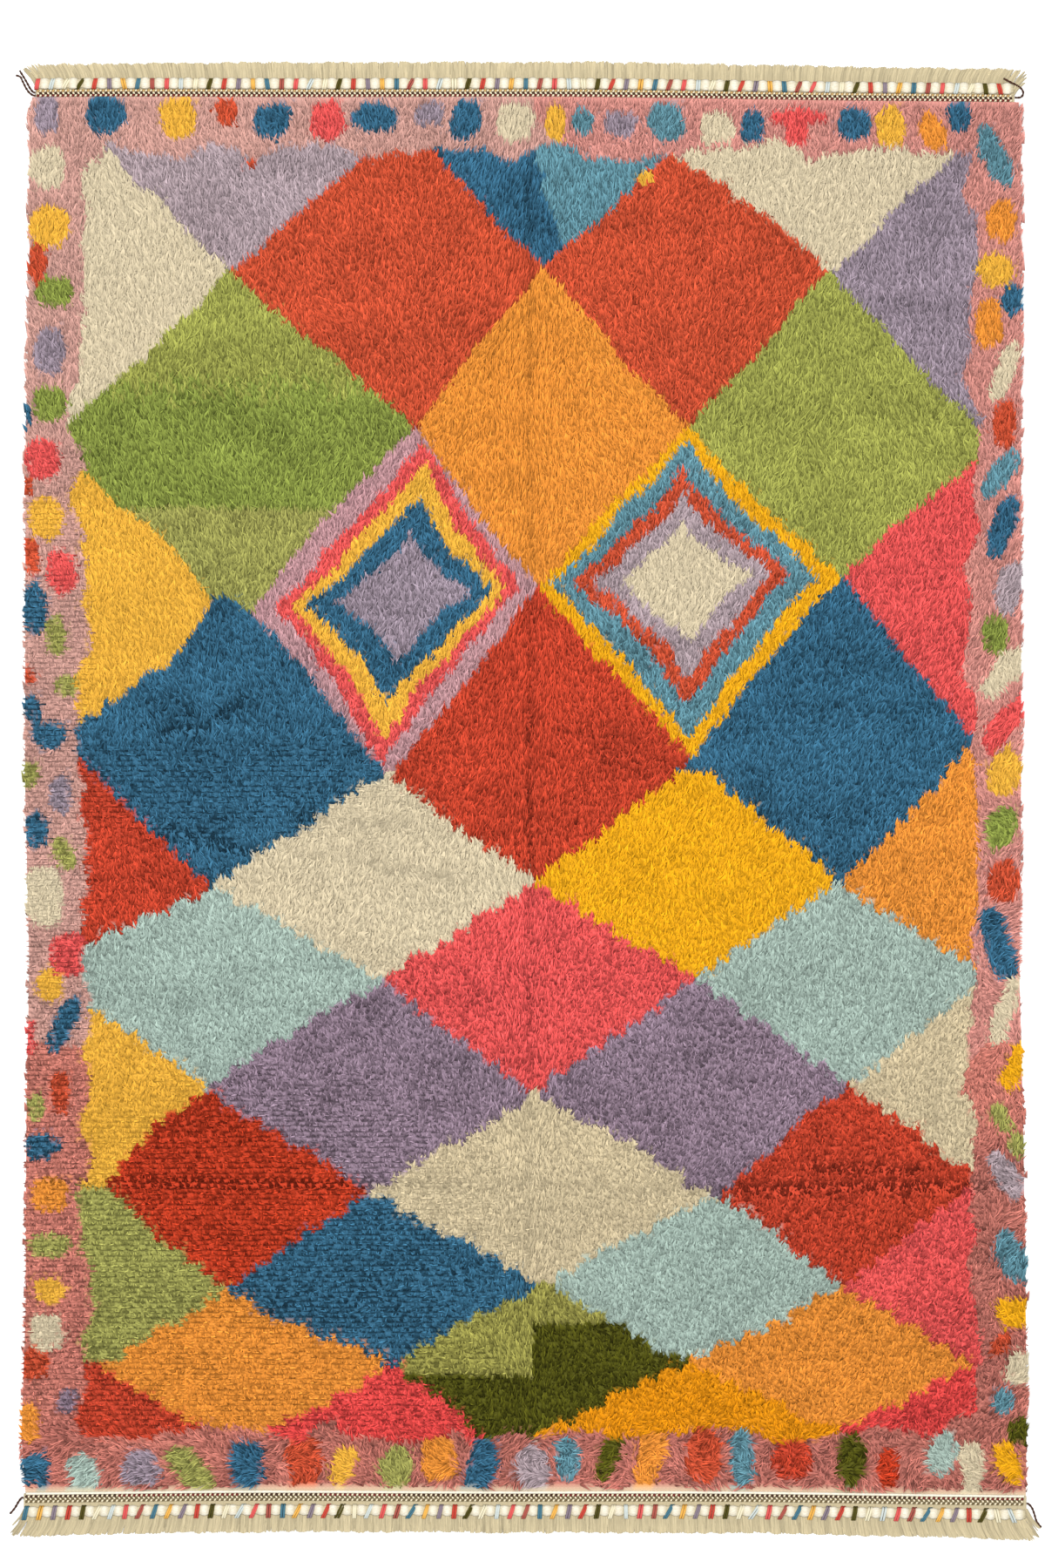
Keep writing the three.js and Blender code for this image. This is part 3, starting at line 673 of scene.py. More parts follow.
def pile_locks(x, y, broad, upright, rowed, dash):
    """Path, sideways direction, half width, half thickness and shade of a lock from each root.

    A lock leans up the rug, swayed by slow and quick unevenness, outwards at the long sides and away
    from creases. Upright locks are short and just reach the next row. In combed pile some of them run
    along the row, and every other broad one is a dash under it, painted dark as shade between the rows.
    Tousled pile falls every way, and sideways at the left. Locks get lower towards the long sides.
    """
    chance = np.random.default_rng(13)
    count = len(x)
    kind = {key: np.where(broad, BROAD_LOCK[key], LOCK[key]) for key in LOCK}
    messy = tousled(x, y) * ~rowed
    upright = upright & (messy < 0.5)
    crease, push = crease_pull(x, y)
    sway = 0.22 * drift(x, y, 0.24, 14) + 0.25 * drift(x, y, 0.045, 15)
    sway += chance.normal(0, 0.42, count) * (1 - 0.6 * np.exp(-(x / 0.07) ** 2))
    leftward = np.clip((-0.1 - x) / 0.4, 0, 1)
    sway += messy * ((3.4 - 2.6 * leftward) * drift(x, y, 0.055, 21) - 1.45 * leftward)
    along_row = rowed & (dash | (~broad & (chance.uniform(0, 1, count) < 0.35)))
    row_turn = np.sign(chance.uniform(-1, 0.5, count)) * np.pi / 2 + chance.normal(0, 0.15, count) * ~dash
    sway = np.where(along_row, row_turn, sway)
    heading = np.stack([np.sin(sway), np.cos(sway)], 1)
    left, right = sides_at(y)
    heading[:, 0] += 0.45 * np.exp(-(right - x) / 0.012) - 0.45 * np.exp(-(x - left) / 0.012)
    heading = unit(heading + 0.2 * push)
    lean = kind["lean"] * (1 - 0.08 * messy) + 0.05 * drift(x, y, 0.03, 16) + chance.normal(0, 0.06, count)
    lower = np.interp(y, (-0.4, 0.1), (1, 0))
    short_lean = np.where(broad | along_row, 0.12, -0.28 - 0.16 * lower * ~rowed)
    lean += np.where(upright, short_lean, 0.15 * crease)
    length = kind["length"] * (1 + np.where(broad, 0, 0.25) * messy) * chance.uniform(0.78, 1.18, count)
    upper = np.interp(y, (-0.1, 0.4), (0, 1))
    short_length = np.where(broad, 0.7 + 0.25 * dash, 0.9 - 0.12 * rowed)
    length *= np.where(upright, short_length, 1 + 0.3 * upper * ~broad)
    edge = np.clip(np.minimum(right - x, x - left) / 0.025, 0, 1)
    level = kind["root"] - 0.004 * (1 - edge) ** 2 - 0.003 * crease + 0.0016 * upright + 0.003 * dash
    root = np.stack([x, y, level + chance.uniform(-0.0009, 0.0009, count)], 1)
    reach = np.concatenate([np.sin(lean)[:, None] * heading, np.cos(lean)[:, None]], 1)
    tip = root + length[:, None] * reach
    fuzz = chance.uniform(0.001, 0.0025, count)
    tip[:, 0] = np.clip(tip[:, 0], left + fuzz, right - fuzz)
    skirt = 0.0030 + 0.006 * np.clip(drift(x, 0 * y, 0.04, 29), 0, 1)
    tip[:, 1] = np.clip(tip[:, 1], end_line(BOTTOM, x) + skirt, end_line(TOP, x) - 0.0005)
    across = np.stack([-heading[:, 1], heading[:, 0], np.zeros(count)], 1)
    shade = 0.03 + chance.normal(0, 1, count) * np.where(broad, 0.07, 0.16 + 0.11 * lower - 0.05 * rowed)
    shade += 0.06 * drift(x, y, 0.05, 17)
    # Painted shade: broad locks, which lie under the others, are darker, and the dashes darker still, as
    # shade between the rows. Tousled pile is a little lighter, painted light against its own shadows.
    shade += 0.05 * drift(0.15 * x, y, 0.035, 18) + 0.05 * messy - 0.08 * broad - 0.27 * dash
    shade -= np.interp(y, (-0.6, -0.2), (0.03, 0))
    # Painted shade: locks in a crease are darker
    shade = shade * np.interp(y, (-1.1, 0, 1.1), (1.1, 1.05, 0.8)) - 0.30 * crease
    fine_width = 1 + 0.08 * upright + 0.3 * rowed - 0.05 * upper
    width = kind["half_width"] * np.where(broad, 1 - 0.3 * messy - 0.66 * dash, fine_width)
    return np.stack([root, tip], 1), across, width, kind["half_thick"], shade


knots = knot_places()
broad_knots, upright_knots = knots[2:4]
lock_path, lock_across, lock_width, lock_thick, lock_shade = pile_locks(*knots)
share_seen = np.where(broad_knots, 0.6, np.where(upright_knots, 0.5, 0.7))[:, None]
seen = lock_path[:, 0] * (1 - share_seen) + lock_path[:, 1] * share_seen
lock_dye = dye_at(seen[:, 0], seen[:, 1])
# Pale wool lets light through, so its locks differ less than those of dark wool
brightness = knot_colours @ (0.21, 0.72, 0.07)
contrast = 1.63 - 3.9 * brightness ** 2
# Locks of cool dyes differ more than those of warm ones, and the cream ones of the upper half least
warm = np.clip(knot_colours[:, 0] / knot_colours[:, 1] - 1, 0, 1)
calm = (lock_dye == DYE["cream"]) & (seen[:, 1] > 0.1)
lock_shade *= np.where(calm, 0.7, 1.4 - 0.4 * np.maximum(warm[lock_dye], 0.5 * broad_knots))
lock_shade = np.maximum(lock_shade, -0.5 / contrast[lock_dye])
lock_level = np.clip(np.floor((0.5 + lock_shade) * SHADES), 0, SHADES - 1)
# Wool scatters light, so a lock is shaded by a normal near to upright, tilted a little at its two sides
lock_rise = unit(np.cross(lock_path[:, 1] - lock_path[:, 0], lock_across)) + (0, 0, 0.45)
lock_tilt = np.outer(np.minimum(contrast, 1.2)[lock_dye], [0, -0.75, 0.75, 0])
lock_normal = unit(lock_rise[:, None] + lock_tilt[..., None] * lock_across[:, None])
lock_rings = [np.repeat(values[:, None], 2, 1) for values in (lock_across, lock_width, lock_thick)]
for dye_name, index in DYE.items():
    mine = lock_dye == index
    if not mine.any():
        continue
    lock_points, lock_faces, lock_map = strands(
        lock_path[mine], *[values[mine] for values in lock_rings], YARN_SIDES, lock_level[mine], SHADES)
    # Each lock gets painted shade at its root and painted light at its tip, both stronger for dark wool
    wool = yarn_material(f"{dye_name}_pile", 1 - 0.38 * contrast[index], knot_colours[index],
                         spread=1.25 * contrast[index], tip=1 + 0.12 * contrast[index])
    locks = add_mesh(f"pile_{dye_name}", lock_points, lock_faces, wool,
                     normals=lock_normal[mine].reshape(-1, 3))
    add_map(locks, lock_map, "strand", "OFBake")


# The warp strips and their fringes
# At each end the warps run on as a flat strip under the finish, and past it as soft cut tufts of undyed
# two-ply wool. They splay at the corners, where those of the bottom end are a little longer.
STRIP = 0.004
STRIP_START = 0.0004
STRIP_COLUMNS = 120
FRINGE_STRANDS = 30
FRINGE_STATIONS = [0, 0.5, 0.93, 1]
FRINGE_ROOT = 0.008
UNDYED = (172, 160, 130)
TOP.update(band_start=0.0, band=0.012, cord=0.021, fringe=0.0255, left=-0.004, right=-0.004, splay=0.018,
           bundles=68)
BOTTOM.update(band_start=0.0026, band=0.018, cord=0.024, fringe=0.0235, left=0.004, right=0.006, splay=0.020,
              bundles=70)


def from_end(end, x, out):
    """Y at a distance outwards from the line where an end meets the rug."""
    return end_line(end, x) + end["side"] * out


def fringe_strands(end, seed):
    """Strands of the tufts, spread over each tuft: they leave the strip and sink to the floor in an eased
    curve. A tuft reaches furthest in its middle, and its sides are painted darker as shade between the
    tufts. At the corners strands lean outwards, and some leave the strip earlier."""
    chance = np.random.default_rng(seed)
    count = end["bundles"] * FRINGE_STRANDS
    pitch = 2 * end["half"] / end["bundles"]
    bundle = np.repeat(np.arange(end["bundles"]), FRINGE_STRANDS)
    place = np.tile(np.arange(FRINGE_STRANDS), end["bundles"])
    spread = (place + chance.uniform(0, 1, count)) / FRINGE_STRANDS - 0.5
    girth = chance.uniform(1.08, 1.25, end["bundles"])
    middle = chance.uniform(-0.04, 0.04, end["bundles"])
    x = -end["half"] + (bundle + 0.5 + middle[bundle] + girth[bundle] * spread) * pitch
    corner = np.clip(np.abs(x / end["half"]), 0, 1) ** 3
    extra = corner * np.where(x < 0, end["left"], end["right"])
    scallop = 0.80 + 0.26 * np.sqrt(1 - 0.95 * (2 * spread) ** 2) + chance.uniform(-0.06, 0.02, count)
    scallop *= chance.uniform(0.96, 1.05, end["bundles"])[bundle]
    early = np.clip((np.abs(x) - end["half"] + 0.020) / 0.012, 0, 1) * chance.uniform(0, 1, count) ** 2
    depth = end["band_start"] + end["band"] + end["cord"]
    length = end["fringe"] * scallop + extra
    along = np.array(FRINGE_STATIONS)
    tip_x = x + np.sign(x) * (corner * end["splay"] + 0.004 * early) + chance.normal(0, 0.0016, count)
    path_x = x[:, None] + (tip_x - x)[:, None] * along ** 1.5
    reach = length + FRINGE_ROOT - 0.004 * early
    out = depth - FRINGE_ROOT - 0.016 * early[:, None] + reach[:, None] * along
    start = chance.uniform(0.0030, 0.0052, count)[:, None]
    path_z = start + (chance.uniform(0.0010, 0.0030, count)[:, None] - start) * along ** 1.6
    path_z += 0.0014 * np.sin(np.pi * along) * chance.uniform(0, 1, (count, 1))
    path = np.stack([path_x, from_end(end, path_x, out), path_z], -1)
    across = np.broadcast_to(np.array([-end["side"], 0.0, 0.0]), path.shape)
    width = chance.uniform(0.0011, 0.0021, (count, 1)) * (1.0 + 0.4 * np.sin(np.pi * along))
    # Painted shade towards a tuft's sides; a few strands are darker at random
    level = chance.normal(12, 3, count) - 7 * np.abs(2 * spread) ** 3
    level -= 7 * (chance.uniform(0, 1, count) < 0.12)
    level = np.clip(level, 0, SHADES - 1).astype(int)
    return strands(path, across, width, 0.8 * width, YARN_SIDES, level, SHADES)


def halved(quads):
    """Faces of four corners, each as two triangles."""
    return np.concatenate([quads[:, [0, 1, 2]], quads[:, [0, 2, 3]]])


def warp_strip(end, outer):
    """A thin closed strip along an end, to a distance outwards."""
    x, out = np.meshgrid(np.linspace(-1, 1, STRIP_COLUMNS + 1) * end["half"], np.array([STRIP_START, outer]))
    y = from_end(end, x, out)
    if end["side"] < 0:
        x, y = x[::-1], y[::-1]
    upper = np.stack([x, y, np.full(x.shape, STRIP)], -1)
    under = np.stack([x, y, np.full(x.shape, FLOOR_GAP)], -1)
    points, faces = closed_sheet(upper, under)
    return points, halved(faces)


fringe_wool = yarn_material("undyed_warp_wool", 0.92, light(UNDYED), spread=0.5, tip=1.04, fibres=6)
ends = [("top", TOP), ("bottom", BOTTOM)]
for end_name, end in ends:
    strip_points, strip_faces = warp_strip(end, end["band_start"] + end["band"] + end["cord"])
    strip_map = np.tile([[0.52, 0.80], [0.54, 0.80], [0.53, 0.84]], (len(strip_faces), 1))
    tuft_points, tuft_faces, tuft_map = fringe_strands(end, 21 + end["side"])
    strip_normals = np.where(strip_points[:, 2:] > 0.5 * STRIP, 1, -1) * (0, 0, 1)
    tilt = -end["side"] * np.array([0, -0.7, 0.7] * (len(FRINGE_STATIONS) - 1) + [0])
    strand_normals = unit(np.stack([tilt, 0 * tilt, 1 + 0 * tilt], 1))
    tuft_normals = np.tile(strand_normals, (len(tuft_points) // len(tilt), 1))
    fringe = add_mesh(
        f"{end_name}_warp_fringe", np.concatenate([strip_points, tuft_points]),
        np.concatenate([strip_faces, tuft_faces + len(strip_points)]), fringe_wool,
        normals=np.concatenate([strip_normals, tuft_normals]))
    add_map(fringe, np.concatenate([strip_map, tuft_map]), "strand", "OFBake")
    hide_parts(f"{end_name}_fringe")


# The twined bands
# Rows of two-strand twining worked over the warps at each end. Neighbouring rows twist in opposite
# ways, so that the slanted stitches of dark and pale yarn meet as arrowheads.
STITCH_STATIONS = 4
STITCH_SIDES = 4
BAND_FLOOR = 0.0043
BAND_HEIGHT = 0.0040
STITCH_HALF_THICKNESS = 0.0011
END_INSET = 0.002
# Brown, undyed, tan, dark red and drab. In each row one of them takes turns with the undyed yarn.
BAND_DYES = [light(screen) for screen in (
    (70, 46, 34), (224, 212, 182), (196, 160, 104), (112, 44, 40), (112, 96, 66))]
BROWN_YARN = 0
UNDYED_YARN = 1
RED_YARN = 3
TOP.update(stitch=0.0042, rib=0.0039, rows=[3, 0, 2], dark=[0.50, 0.50, 0.45])
BOTTOM.update(stitch=0.0041, rib=0.0042, rows=[0, 4, 4], dark=[0.54, 0.44, 0.38])


def twined_stitches(end, seed):
    """Paths, sideways directions, half widths and dyes of a band's stitches: short fat arcs, one after
    another along each row, slanted by turns."""
    chance = np.random.default_rng(seed)
    per_row = int(2 * (end["half"] - END_INSET) / end["stitch"])
    rows = len(end["rows"])
    row = np.repeat(np.arange(rows), per_row)
    place = np.tile(np.arange(per_row), rows)
    slant = np.where(row % 2 == 0, 1, -1) * end["side"]
    along = np.linspace(0, 1, STITCH_STATIONS)
    x = -end["half"] + END_INSET + (place + 0.5) * end["stitch"] + chance.normal(0, 0.0002, len(row))
    path_x = x[:, None] + 0.9 * end["stitch"] * slant[:, None] * (along - 0.5)
    out = end["band_start"] + STRIP_START + (row[:, None] + 0.02 + 0.96 * along) * end["rib"]
    path_z = BAND_FLOOR + 0.0012 + (BAND_HEIGHT - 0.0028) * np.sin(np.pi * (0.1 + 0.8 * along))
    pale = (place + row) % 2
    path_z = path_z + 0.0006 * (1 - pale)[:, None]
    path = np.stack([path_x, from_end(end, path_x, out), path_z], -1)
    run = np.gradient(path, axis=1)
    across = unit(np.stack([run[..., 1], -run[..., 0], np.zeros(run.shape[:2])], -1))
    dye = np.where(pale, UNDYED_YARN, np.array(end["rows"])[row])
    dye[(dye == BROWN_YARN) & (row == 0) & (drift(x, 0 * x, 0.12, 33) < -0.1)] = RED_YARN
    share = np.where(pale == 0, np.array(end["dark"])[row], 0.52)[:, None]
    width = share * end["stitch"] * (0.45 + 0.55 * np.sin(np.pi * (0.12 + 0.76 * along))) + 0 * path_x
    return path, across, width, dye


def add_dyed(name, path, across, width, dye, thick, sides, dyes, yarn):
    """A piece of yarns, each in one of a few dyes."""
    points, faces, corners = strands(path, across, width, 0 * width + thick, sides, dye, len(dyes))
    piece = add_mesh(name, points, faces, yarn)
    add_map(piece, corners, "strand", "OFBake")
    add_dye(piece, np.repeat(np.array(dyes)[dye], len(points) // len(dye), 0))
    return piece


band_yarn = yarn_material("twining_yarn", 0.8, columns=len(BAND_DYES), fibres=5, relief=0.0004)
for end_name, end in ends:
    stitches = twined_stitches(end, 31 + end["side"])
    band = add_dyed(f"{end_name}_twining", *stitches, STITCH_HALF_THICKNESS, STITCH_SIDES, BAND_DYES,
                    band_yarn)
    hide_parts(f"{end_name}_twined_band")


# The couched cotton cords
# A thick roving of soft white cotton laid along each end over the warp strip. Yarn wraps draw it in
# every couple of centimetres, so that it swells into pillows between them.
PILLOW_HEIGHT = 0.0088
CINCH = 0.55
PINCH = 0.17
PILLOW_STATIONS = 8
CORD_SIDES = 10
COTTON = (219, 214, 199)
# Painted shade at the pinches of the cord
PINCH_SHADE = (222, 214, 192)
FURROW = (184, 174, 146)
WRAP_SHIFT = 0.05
TOP["pillow"] = 0.0190
BOTTOM["pillow"] = 0.0185


def tube_faces(stations, sides):
    """Triangles around a tube of rings of points, with a fan across each end."""
    ring = np.arange(stations - 1)[:, None] * sides
    side = np.arange(sides)
    after = (side + 1) % sides
    quads = np.stack([ring + side, ring + after, ring + sides + after, ring + sides + side], -1)
    first = np.stack([0 * side[1:-1], side[2:], side[1:-1]], 1)
    last = first[:, ::-1] + (stations - 1) * sides
    return np.concatenate([halved(quads.reshape(-1, 4)), first, last])


def end_tube(end, half, stations, out, up, half_out, half_up, sides):
    """A closed tube along an end: an ellipse at every station, given by arrays of its middle and sizes."""
    x = np.linspace(-half, half, stations)
    turn = 2 * np.pi * np.arange(sides) / sides
    y = from_end(end, x[:, None], out[:, None] + half_out[:, None] * np.cos(turn))
    z = up[:, None] + half_up[:, None] * np.sin(turn)
    points = np.stack([np.broadcast_to(x[:, None], y.shape), y, z], -1).reshape(-1, 3)
    return points, tube_faces(stations, sides)[:, ::end["side"]]


def loose_fibres(name, scale, detail, roughness, tints, relief, tinted_points):
    """Fibres as noise, drawn out by the scale of each axis, from the tint of the furrows to that of the
    crowns, and multiplied by each point's own tint where a piece has one: painted shade at the cotton cord's
    pinches."""
    material, tree, shader = new_material(name, 0.2)
    place = node(tree, "ShaderNodeTexCoord").outputs["Object"]
    drawn = node(tree, "ShaderNodeMapping", {"Vector": place, "Scale": scale}).outputs[0]
    fibres = node(tree, "ShaderNodeTexNoise", {
        "Vector": drawn, "Scale": 1, "Detail": detail, "Roughness": roughness}).outputs["Fac"]
    tint = node(tree, "ShaderNodeValToRGB", {"Fac": fibres})
    for element, (position, screen) in zip(tint.color_ramp.elements, tints):
        element.position = position
        element.color = (*light(screen), 1)
    colour = tint.outputs["Color"]
    if tinted_points:
        colour = darkened(tree, colour, own_dye(tree))
    finish(tree, shader, colour, between(tree, fibres, 1, 0.8), fibres, 0.6, relief)
    return material, shader


cotton, cotton_shader = loose_fibres(
    "cotton_roving", (130, 900, 900), 4, 0.65, [(0.25, FURROW), (0.6, COTTON)], 0.0008, True)
cotton_shader.inputs["Sheen Weight"].default_value = 0.2
for end_name, end in ends:
    cord_half = end["half"] - END_INSET
    cord_stations = end["bundles"] * PILLOW_STATIONS + 1
    phase = np.arange(cord_stations) / PILLOW_STATIONS - WRAP_SHIFT
    swell = np.clip((np.abs((phase + 0.5) % 1 - 0.5) - PINCH) / (0.5 - PINCH), 0, 1)
    uneven = 1 - 0.10 * np.cos(2.3 * np.floor(phase))
    bulge = CINCH + (1 - CINCH) * np.sin(np.pi / 2 * swell) ** 0.7 * uneven
    cord_out = end["band_start"] + end["band"] + 0.52 * end["pillow"] + 0 * phase
    cord_up = BAND_FLOOR + 0.5 * PILLOW_HEIGHT * bulge
    cord = add_mesh(f"{end_name}_cotton_cord", *end_tube(
        end, cord_half, cord_stations, cord_out, cord_up, 0.5 * end["pillow"] * (0.5 + 0.5 * bulge),
        0.5 * PILLOW_HEIGHT * bulge, CORD_SIDES), cotton)
    # Painted shade: the cord is darker towards each pinch, where the wraps draw it in
    unpinched = np.repeat((bulge - CINCH) / (1 - CINCH), CORD_SIDES)[:, None]
    add_dye(cord, light(PINCH_SHADE) + (1 - light(PINCH_SHADE)) * np.clip(unpinched, 0, 1))
    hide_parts(f"{end_name}_padded_cord")


# The yarn wraps
# Two turns of dyed wool hold the cotton cord to the strip at every pinch, in a repeat of nine dyes
# that runs one way at the top and the other way at the bottom.
WRAP_STATIONS = [0, 0.10, 0.20, 0.30, 0.42, 0.54, 0.68, 0.97, 1]
WRAP_SIDES = 5
WRAP_HALF_WIDTH = 0.0022
WRAP_HALF_THICKNESS = 0.0011
WRAP_DYES = [light(screen) for screen in (
    (196, 82, 80), (182, 190, 187), (212, 204, 176), (74, 68, 28), (178, 66, 54), (124, 112, 122),
    (204, 155, 74), (68, 108, 124), (148, 76, 66))]
TOP.update(wrap=0.018, lean=0.0014, wrap_order=[0, 1, 2, 3, 4, 5, 6, 7, 8])
BOTTOM.update(wrap=0.0235, lean=0.0036, wrap_order=[7, 6, 5, 4, 3, 2, 1, 0, 8])


def yarn_wraps(end, seed):
    """Paths, sideways directions, half widths and dyes of the yarns over the cord, two side by side at each
    pinch: up over the roving in a half ellipse, then flat on the strip, most of them leaning to the right."""
    chance = np.random.default_rng(seed)
    pinch = np.repeat(np.arange(end["bundles"]), 2)
    turn = np.tile([-0.5, 0.5], end["bundles"])
    half = end["half"] - END_INSET
    along = np.array(WRAP_STATIONS)
    start = end["band_start"] + end["band"]
    x = -half + 2 * half * (pinch + WRAP_SHIFT) / end["bundles"] + turn * 1.75 * WRAP_HALF_WIDTH
    x = x + chance.normal(0, 0.0003, len(pinch))
    lean = np.repeat(end["lean"] + chance.normal(0, 0.0017, end["bundles"]), 2)
    lean = np.where(x > 0.93 * half, -lean, lean)[:, None]
    out = start + 0.0003 + end["wrap"] * along
    path_x = x[:, None] + end["side"] * lean * (2 * along - 1)
    crown = np.clip(1 - ((out - start - 0.52 * end["pillow"]) / (0.48 * end["pillow"])) ** 2, 0, 1) ** 0.5
    over = np.maximum((CINCH * PILLOW_HEIGHT + 0.0005) * crown, 0.0024 * (along > 0.5))
    path_z = np.broadcast_to(BAND_FLOOR + 0.0008 + over, path_x.shape)
    path = np.stack([path_x, from_end(end, path_x, out), path_z], -1)
    across = np.broadcast_to(np.array([end["side"], 0.0, 0.0]), path.shape)
    width = np.full(path_x.shape, WRAP_HALF_WIDTH)
    return path, across, width, np.array(end["wrap_order"])[pinch % len(WRAP_DYES)]


wrap_yarn = yarn_material("wrapping_yarn", 0.9, columns=len(WRAP_DYES), fibres=5, relief=0.0005)
for end_name, end in ends:
    wrap_yarns = yarn_wraps(end, 41 + end["side"])
    wraps = add_dyed(f"{end_name}_wraps", *wrap_yarns, WRAP_HALF_THICKNESS, WRAP_SIDES, WRAP_DYES, wrap_yarn)


# The thin cotton cord at the bottom end
# A plied white cord sewn over the seam between the rug's flat skirt and the bottom strip.
EDGE_RADIUS = 0.45 * 0.0050
EDGE_LEVEL = 0.0068
EDGE_PLY = 0.006
EDGE_STATIONS = 640
EDGE_SIDES = 6
EDGE_SHADE = 1.12
edge_half = BOTTOM["half"] - 2 * END_INSET
ply = 2 * np.pi * np.linspace(-edge_half, edge_half, EDGE_STATIONS) / EDGE_PLY
edge_radius = EDGE_RADIUS * (1 + 0.10 * np.sin(ply))
edge_cord = add_mesh("bottom_edge_piping", *end_tube(
    BOTTOM, edge_half, EDGE_STATIONS, np.zeros(EDGE_STATIONS), EDGE_LEVEL + 0.0002 * np.cos(ply),
    edge_radius, edge_radius, EDGE_SIDES), cotton)
add_dye(edge_cord, np.full((EDGE_STATIONS * EDGE_SIDES, 3), EDGE_SHADE))
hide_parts("bottom_edge_cord")


# The loose yarn ends
# Where the twining ends at the corners its two-ply yarn is knotted off and left to hang out, lying on
# the floor or on the end finish.
TAIL = 0.003
TAIL_STATIONS = 72
TAIL_SIDES = 8
TAIL_PLY = 0.007
TAILS = {
    "top_left_yarn_tail_1": [
        (-0.8185, 1.1792, 0.0064), (-0.8225, 1.1798, 0.0062), (-0.8290, 1.1845, 0.0046),
        (-0.8350, 1.1930, 0.0026), (-0.8405, 1.2040, 0.0017), (-0.8445, 1.2115, 0.0017),
        (-0.8515, 1.2140, 0.0017)],
    "top_left_yarn_tail_2": [
        (-0.8186, 1.1844, 0.0064), (-0.8220, 1.1850, 0.0062), (-0.8275, 1.1915, 0.0042),
        (-0.8325, 1.2005, 0.0024), (-0.8380, 1.2100, 0.0017), (-0.8455, 1.2220, 0.0017)],
    "top_right_yarn_tail": [
        (0.8186, 1.1760, 0.0064), (0.8225, 1.1758, 0.0062), (0.8295, 1.1775, 0.0044),
        (0.8330, 1.1840, 0.0032), (0.8300, 1.1910, 0.0034), (0.8220, 1.1965, 0.0055),
        (0.8120, 1.2010, 0.0069), (0.7995, 1.2075, 0.0079)],
    "bottom_left_yarn_tail": [
        (-0.8386, -1.1630, 0.0064), (-0.8420, -1.1640, 0.0062), (-0.8475, -1.1715, 0.0042),
        (-0.8525, -1.1800, 0.0022), (-0.8570, -1.1860, 0.0017), (-0.8615, -1.1910, 0.0017)],
    "bottom_right_yarn_tail": [
        (0.8386, -1.1730, 0.0064), (0.8420, -1.1740, 0.0062), (0.8475, -1.1810, 0.0042),
        (0.8515, -1.1910, 0.0022), (0.8555, -1.2035, 0.0017), (0.8630, -1.2135, 0.0017)],
}


def smooth_route(route, stations):
    """Points along a curve that passes through every point of a route: cubic pieces whose slopes come
    from the neighbouring points."""
    route = np.array(route)
    slope = np.gradient(route, axis=0)
    place = np.linspace(0, len(route) - 1, stations)
    piece = np.minimum(place.astype(int), len(route) - 2)
    t = (place - piece)[:, None]
    start = (2 * t ** 3 - 3 * t ** 2 + 1) * route[piece] + (t ** 3 - 2 * t ** 2 + t) * slope[piece]
    end = (3 * t ** 2 - 2 * t ** 3) * route[piece + 1] + (t ** 3 - t ** 2) * slope[piece + 1]
    return start + end


def plied_yarn(route):
    """A two-ply yarn: its section has two lobes, which turn steadily on the way along."""
    run = unit(np.gradient(route, axis=0))
    across = unit(np.cross(run, (0, 0, 1)))
    rise = np.cross(across, run)
    step = np.linalg.norm(np.diff(route, axis=0), axis=1)
    travelled = np.concatenate([[0], np.cumsum(step)])
    turn = 2 * np.pi * np.arange(TAIL_SIDES) / TAIL_SIDES
    lobes = 1.08 + 0.2 * np.cos(2 * (turn - np.pi * travelled[:, None] / TAIL_PLY))
    ring = np.cos(turn)[:, None] * across[:, None] + np.sin(turn)[:, None] * rise[:, None]
    points = route[:, None] + (TAIL / 2 * lobes)[..., None] * ring
    points[..., 2] = np.maximum(points[..., 2], FLOOR_GAP)
    return points.reshape(-1, 3), tube_faces(len(route), TAIL_SIDES)[:, ::-1], travelled[-1]


tail_yarn, _ = loose_fibres(
    "tail_yarn", (1400, 1400, 1400), 3, 0.5, [(0.3, (34, 17, 12)), (0.75, (84, 50, 34))], 0.0004, False)
for tail_name, tail_route in TAILS.items():
    route = smooth_route(tail_route, TAIL_STATIONS)
    tail_points, tail_faces, tail_length = plied_yarn(route)
    tail = add_mesh(f"{tail_name}_yarn", tail_points, tail_faces, tail_yarn)
    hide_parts(tail_name)


# The floor, the light and the camera
# The rug lies on a plain pale floor under wide soft lamps, seen from straight above.
PHOTO_WIDTH, PHOTO_HEIGHT = 1200, 1800
PIXEL = 0.001455
RUG_MIDDLE = (603, 920)
CAMERA_HEIGHT = 6.2
PILE_LEVEL = 0.008
FLOOR_HALF = 9.0

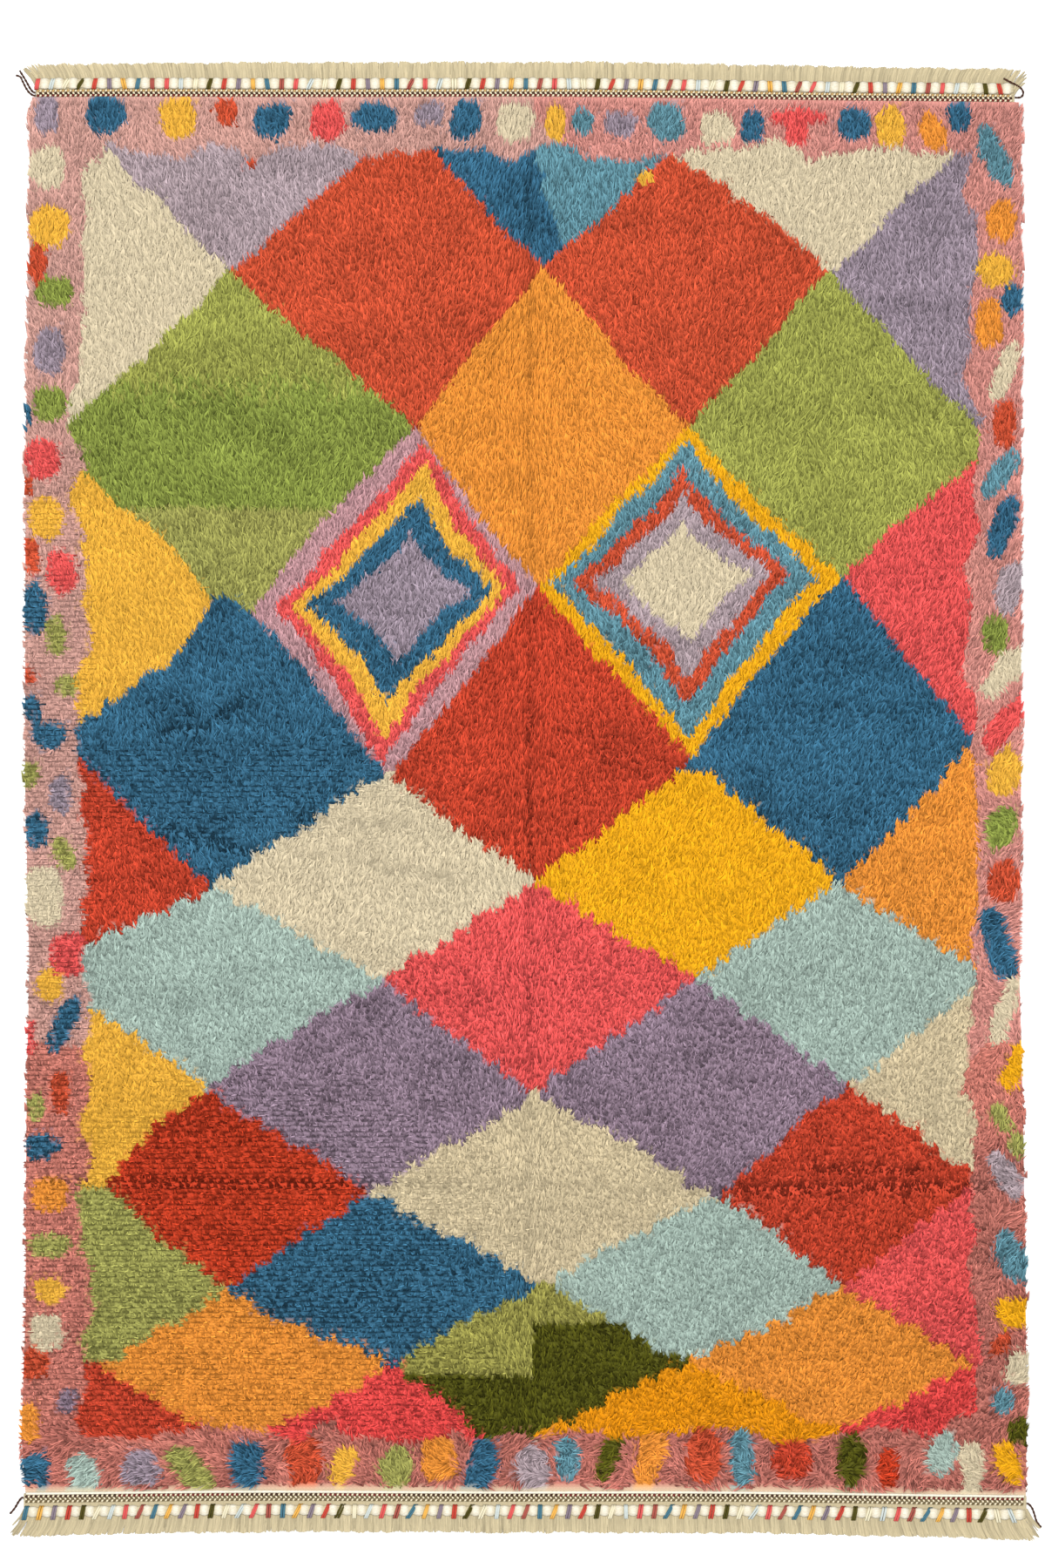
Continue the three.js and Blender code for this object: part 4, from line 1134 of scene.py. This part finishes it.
floor_material, _, floor_shader = new_material("pale_floor", 0.1)
floor_shader.inputs["Roughness"].default_value = 0.9
floor_shader.inputs["Base Color"].default_value = (0.90, 0.90, 0.89, 1)
floor_mesh = bpy.data.meshes.new("floor")
floor_mesh.from_pydata(
    [(-FLOOR_HALF, -FLOOR_HALF, 0), (FLOOR_HALF, -FLOOR_HALF, 0), (FLOOR_HALF, FLOOR_HALF, 0),
     (-FLOOR_HALF, FLOOR_HALF, 0)], [], [(0, 1, 2, 3)])
floor_mesh.materials.append(floor_material)
floor = bpy.data.objects.new("floor", floor_mesh)
bpy.context.scene.collection.objects.link(floor)


def soft_lamp(name, place, aim, size, power):
    """A square area lamp at a place, turned to face a point."""
    lamp = bpy.data.lights.new(name, "AREA")
    lamp.size = size
    lamp.energy = power
    holder = bpy.data.objects.new(name, lamp)
    direction = np.array(aim) - np.array(place)
    holder.location = place
    pitch = np.arctan2(np.hypot(direction[0], direction[1]), -direction[2])
    holder.rotation_euler = (pitch, 0, np.arctan2(-direction[0], direction[1]))
    bpy.context.scene.collection.objects.link(holder)


soft_lamp("key", (-1.4, 1.1, 6.4), (0, 0.1, 0), 2.4, 368)
soft_lamp("fill", (1.6, -0.5, 6.4), (0, -0.1, 0), 2.4, 265)

world = bpy.data.worlds.new("studio")
world.use_nodes = True
world.node_tree.nodes["Background"].inputs["Color"].default_value = (1.0, 0.99, 0.97, 1)
world.node_tree.nodes["Background"].inputs["Strength"].default_value = 0.44
bpy.context.scene.world = world
bpy.context.scene.view_settings.view_transform = "Standard"

camera = bpy.data.cameras.new("camera")
camera.sensor_width = 36
camera.lens = camera.sensor_width * (CAMERA_HEIGHT - PILE_LEVEL) / (PHOTO_HEIGHT * PIXEL)
viewer = bpy.data.objects.new("camera", camera)
viewer.location = (
    (PHOTO_WIDTH / 2 - RUG_MIDDLE[0]) * PIXEL, (RUG_MIDDLE[1] - PHOTO_HEIGHT / 2) * PIXEL, CAMERA_HEIGHT)
bpy.context.scene.collection.objects.link(viewer)
bpy.context.scene.camera = viewer
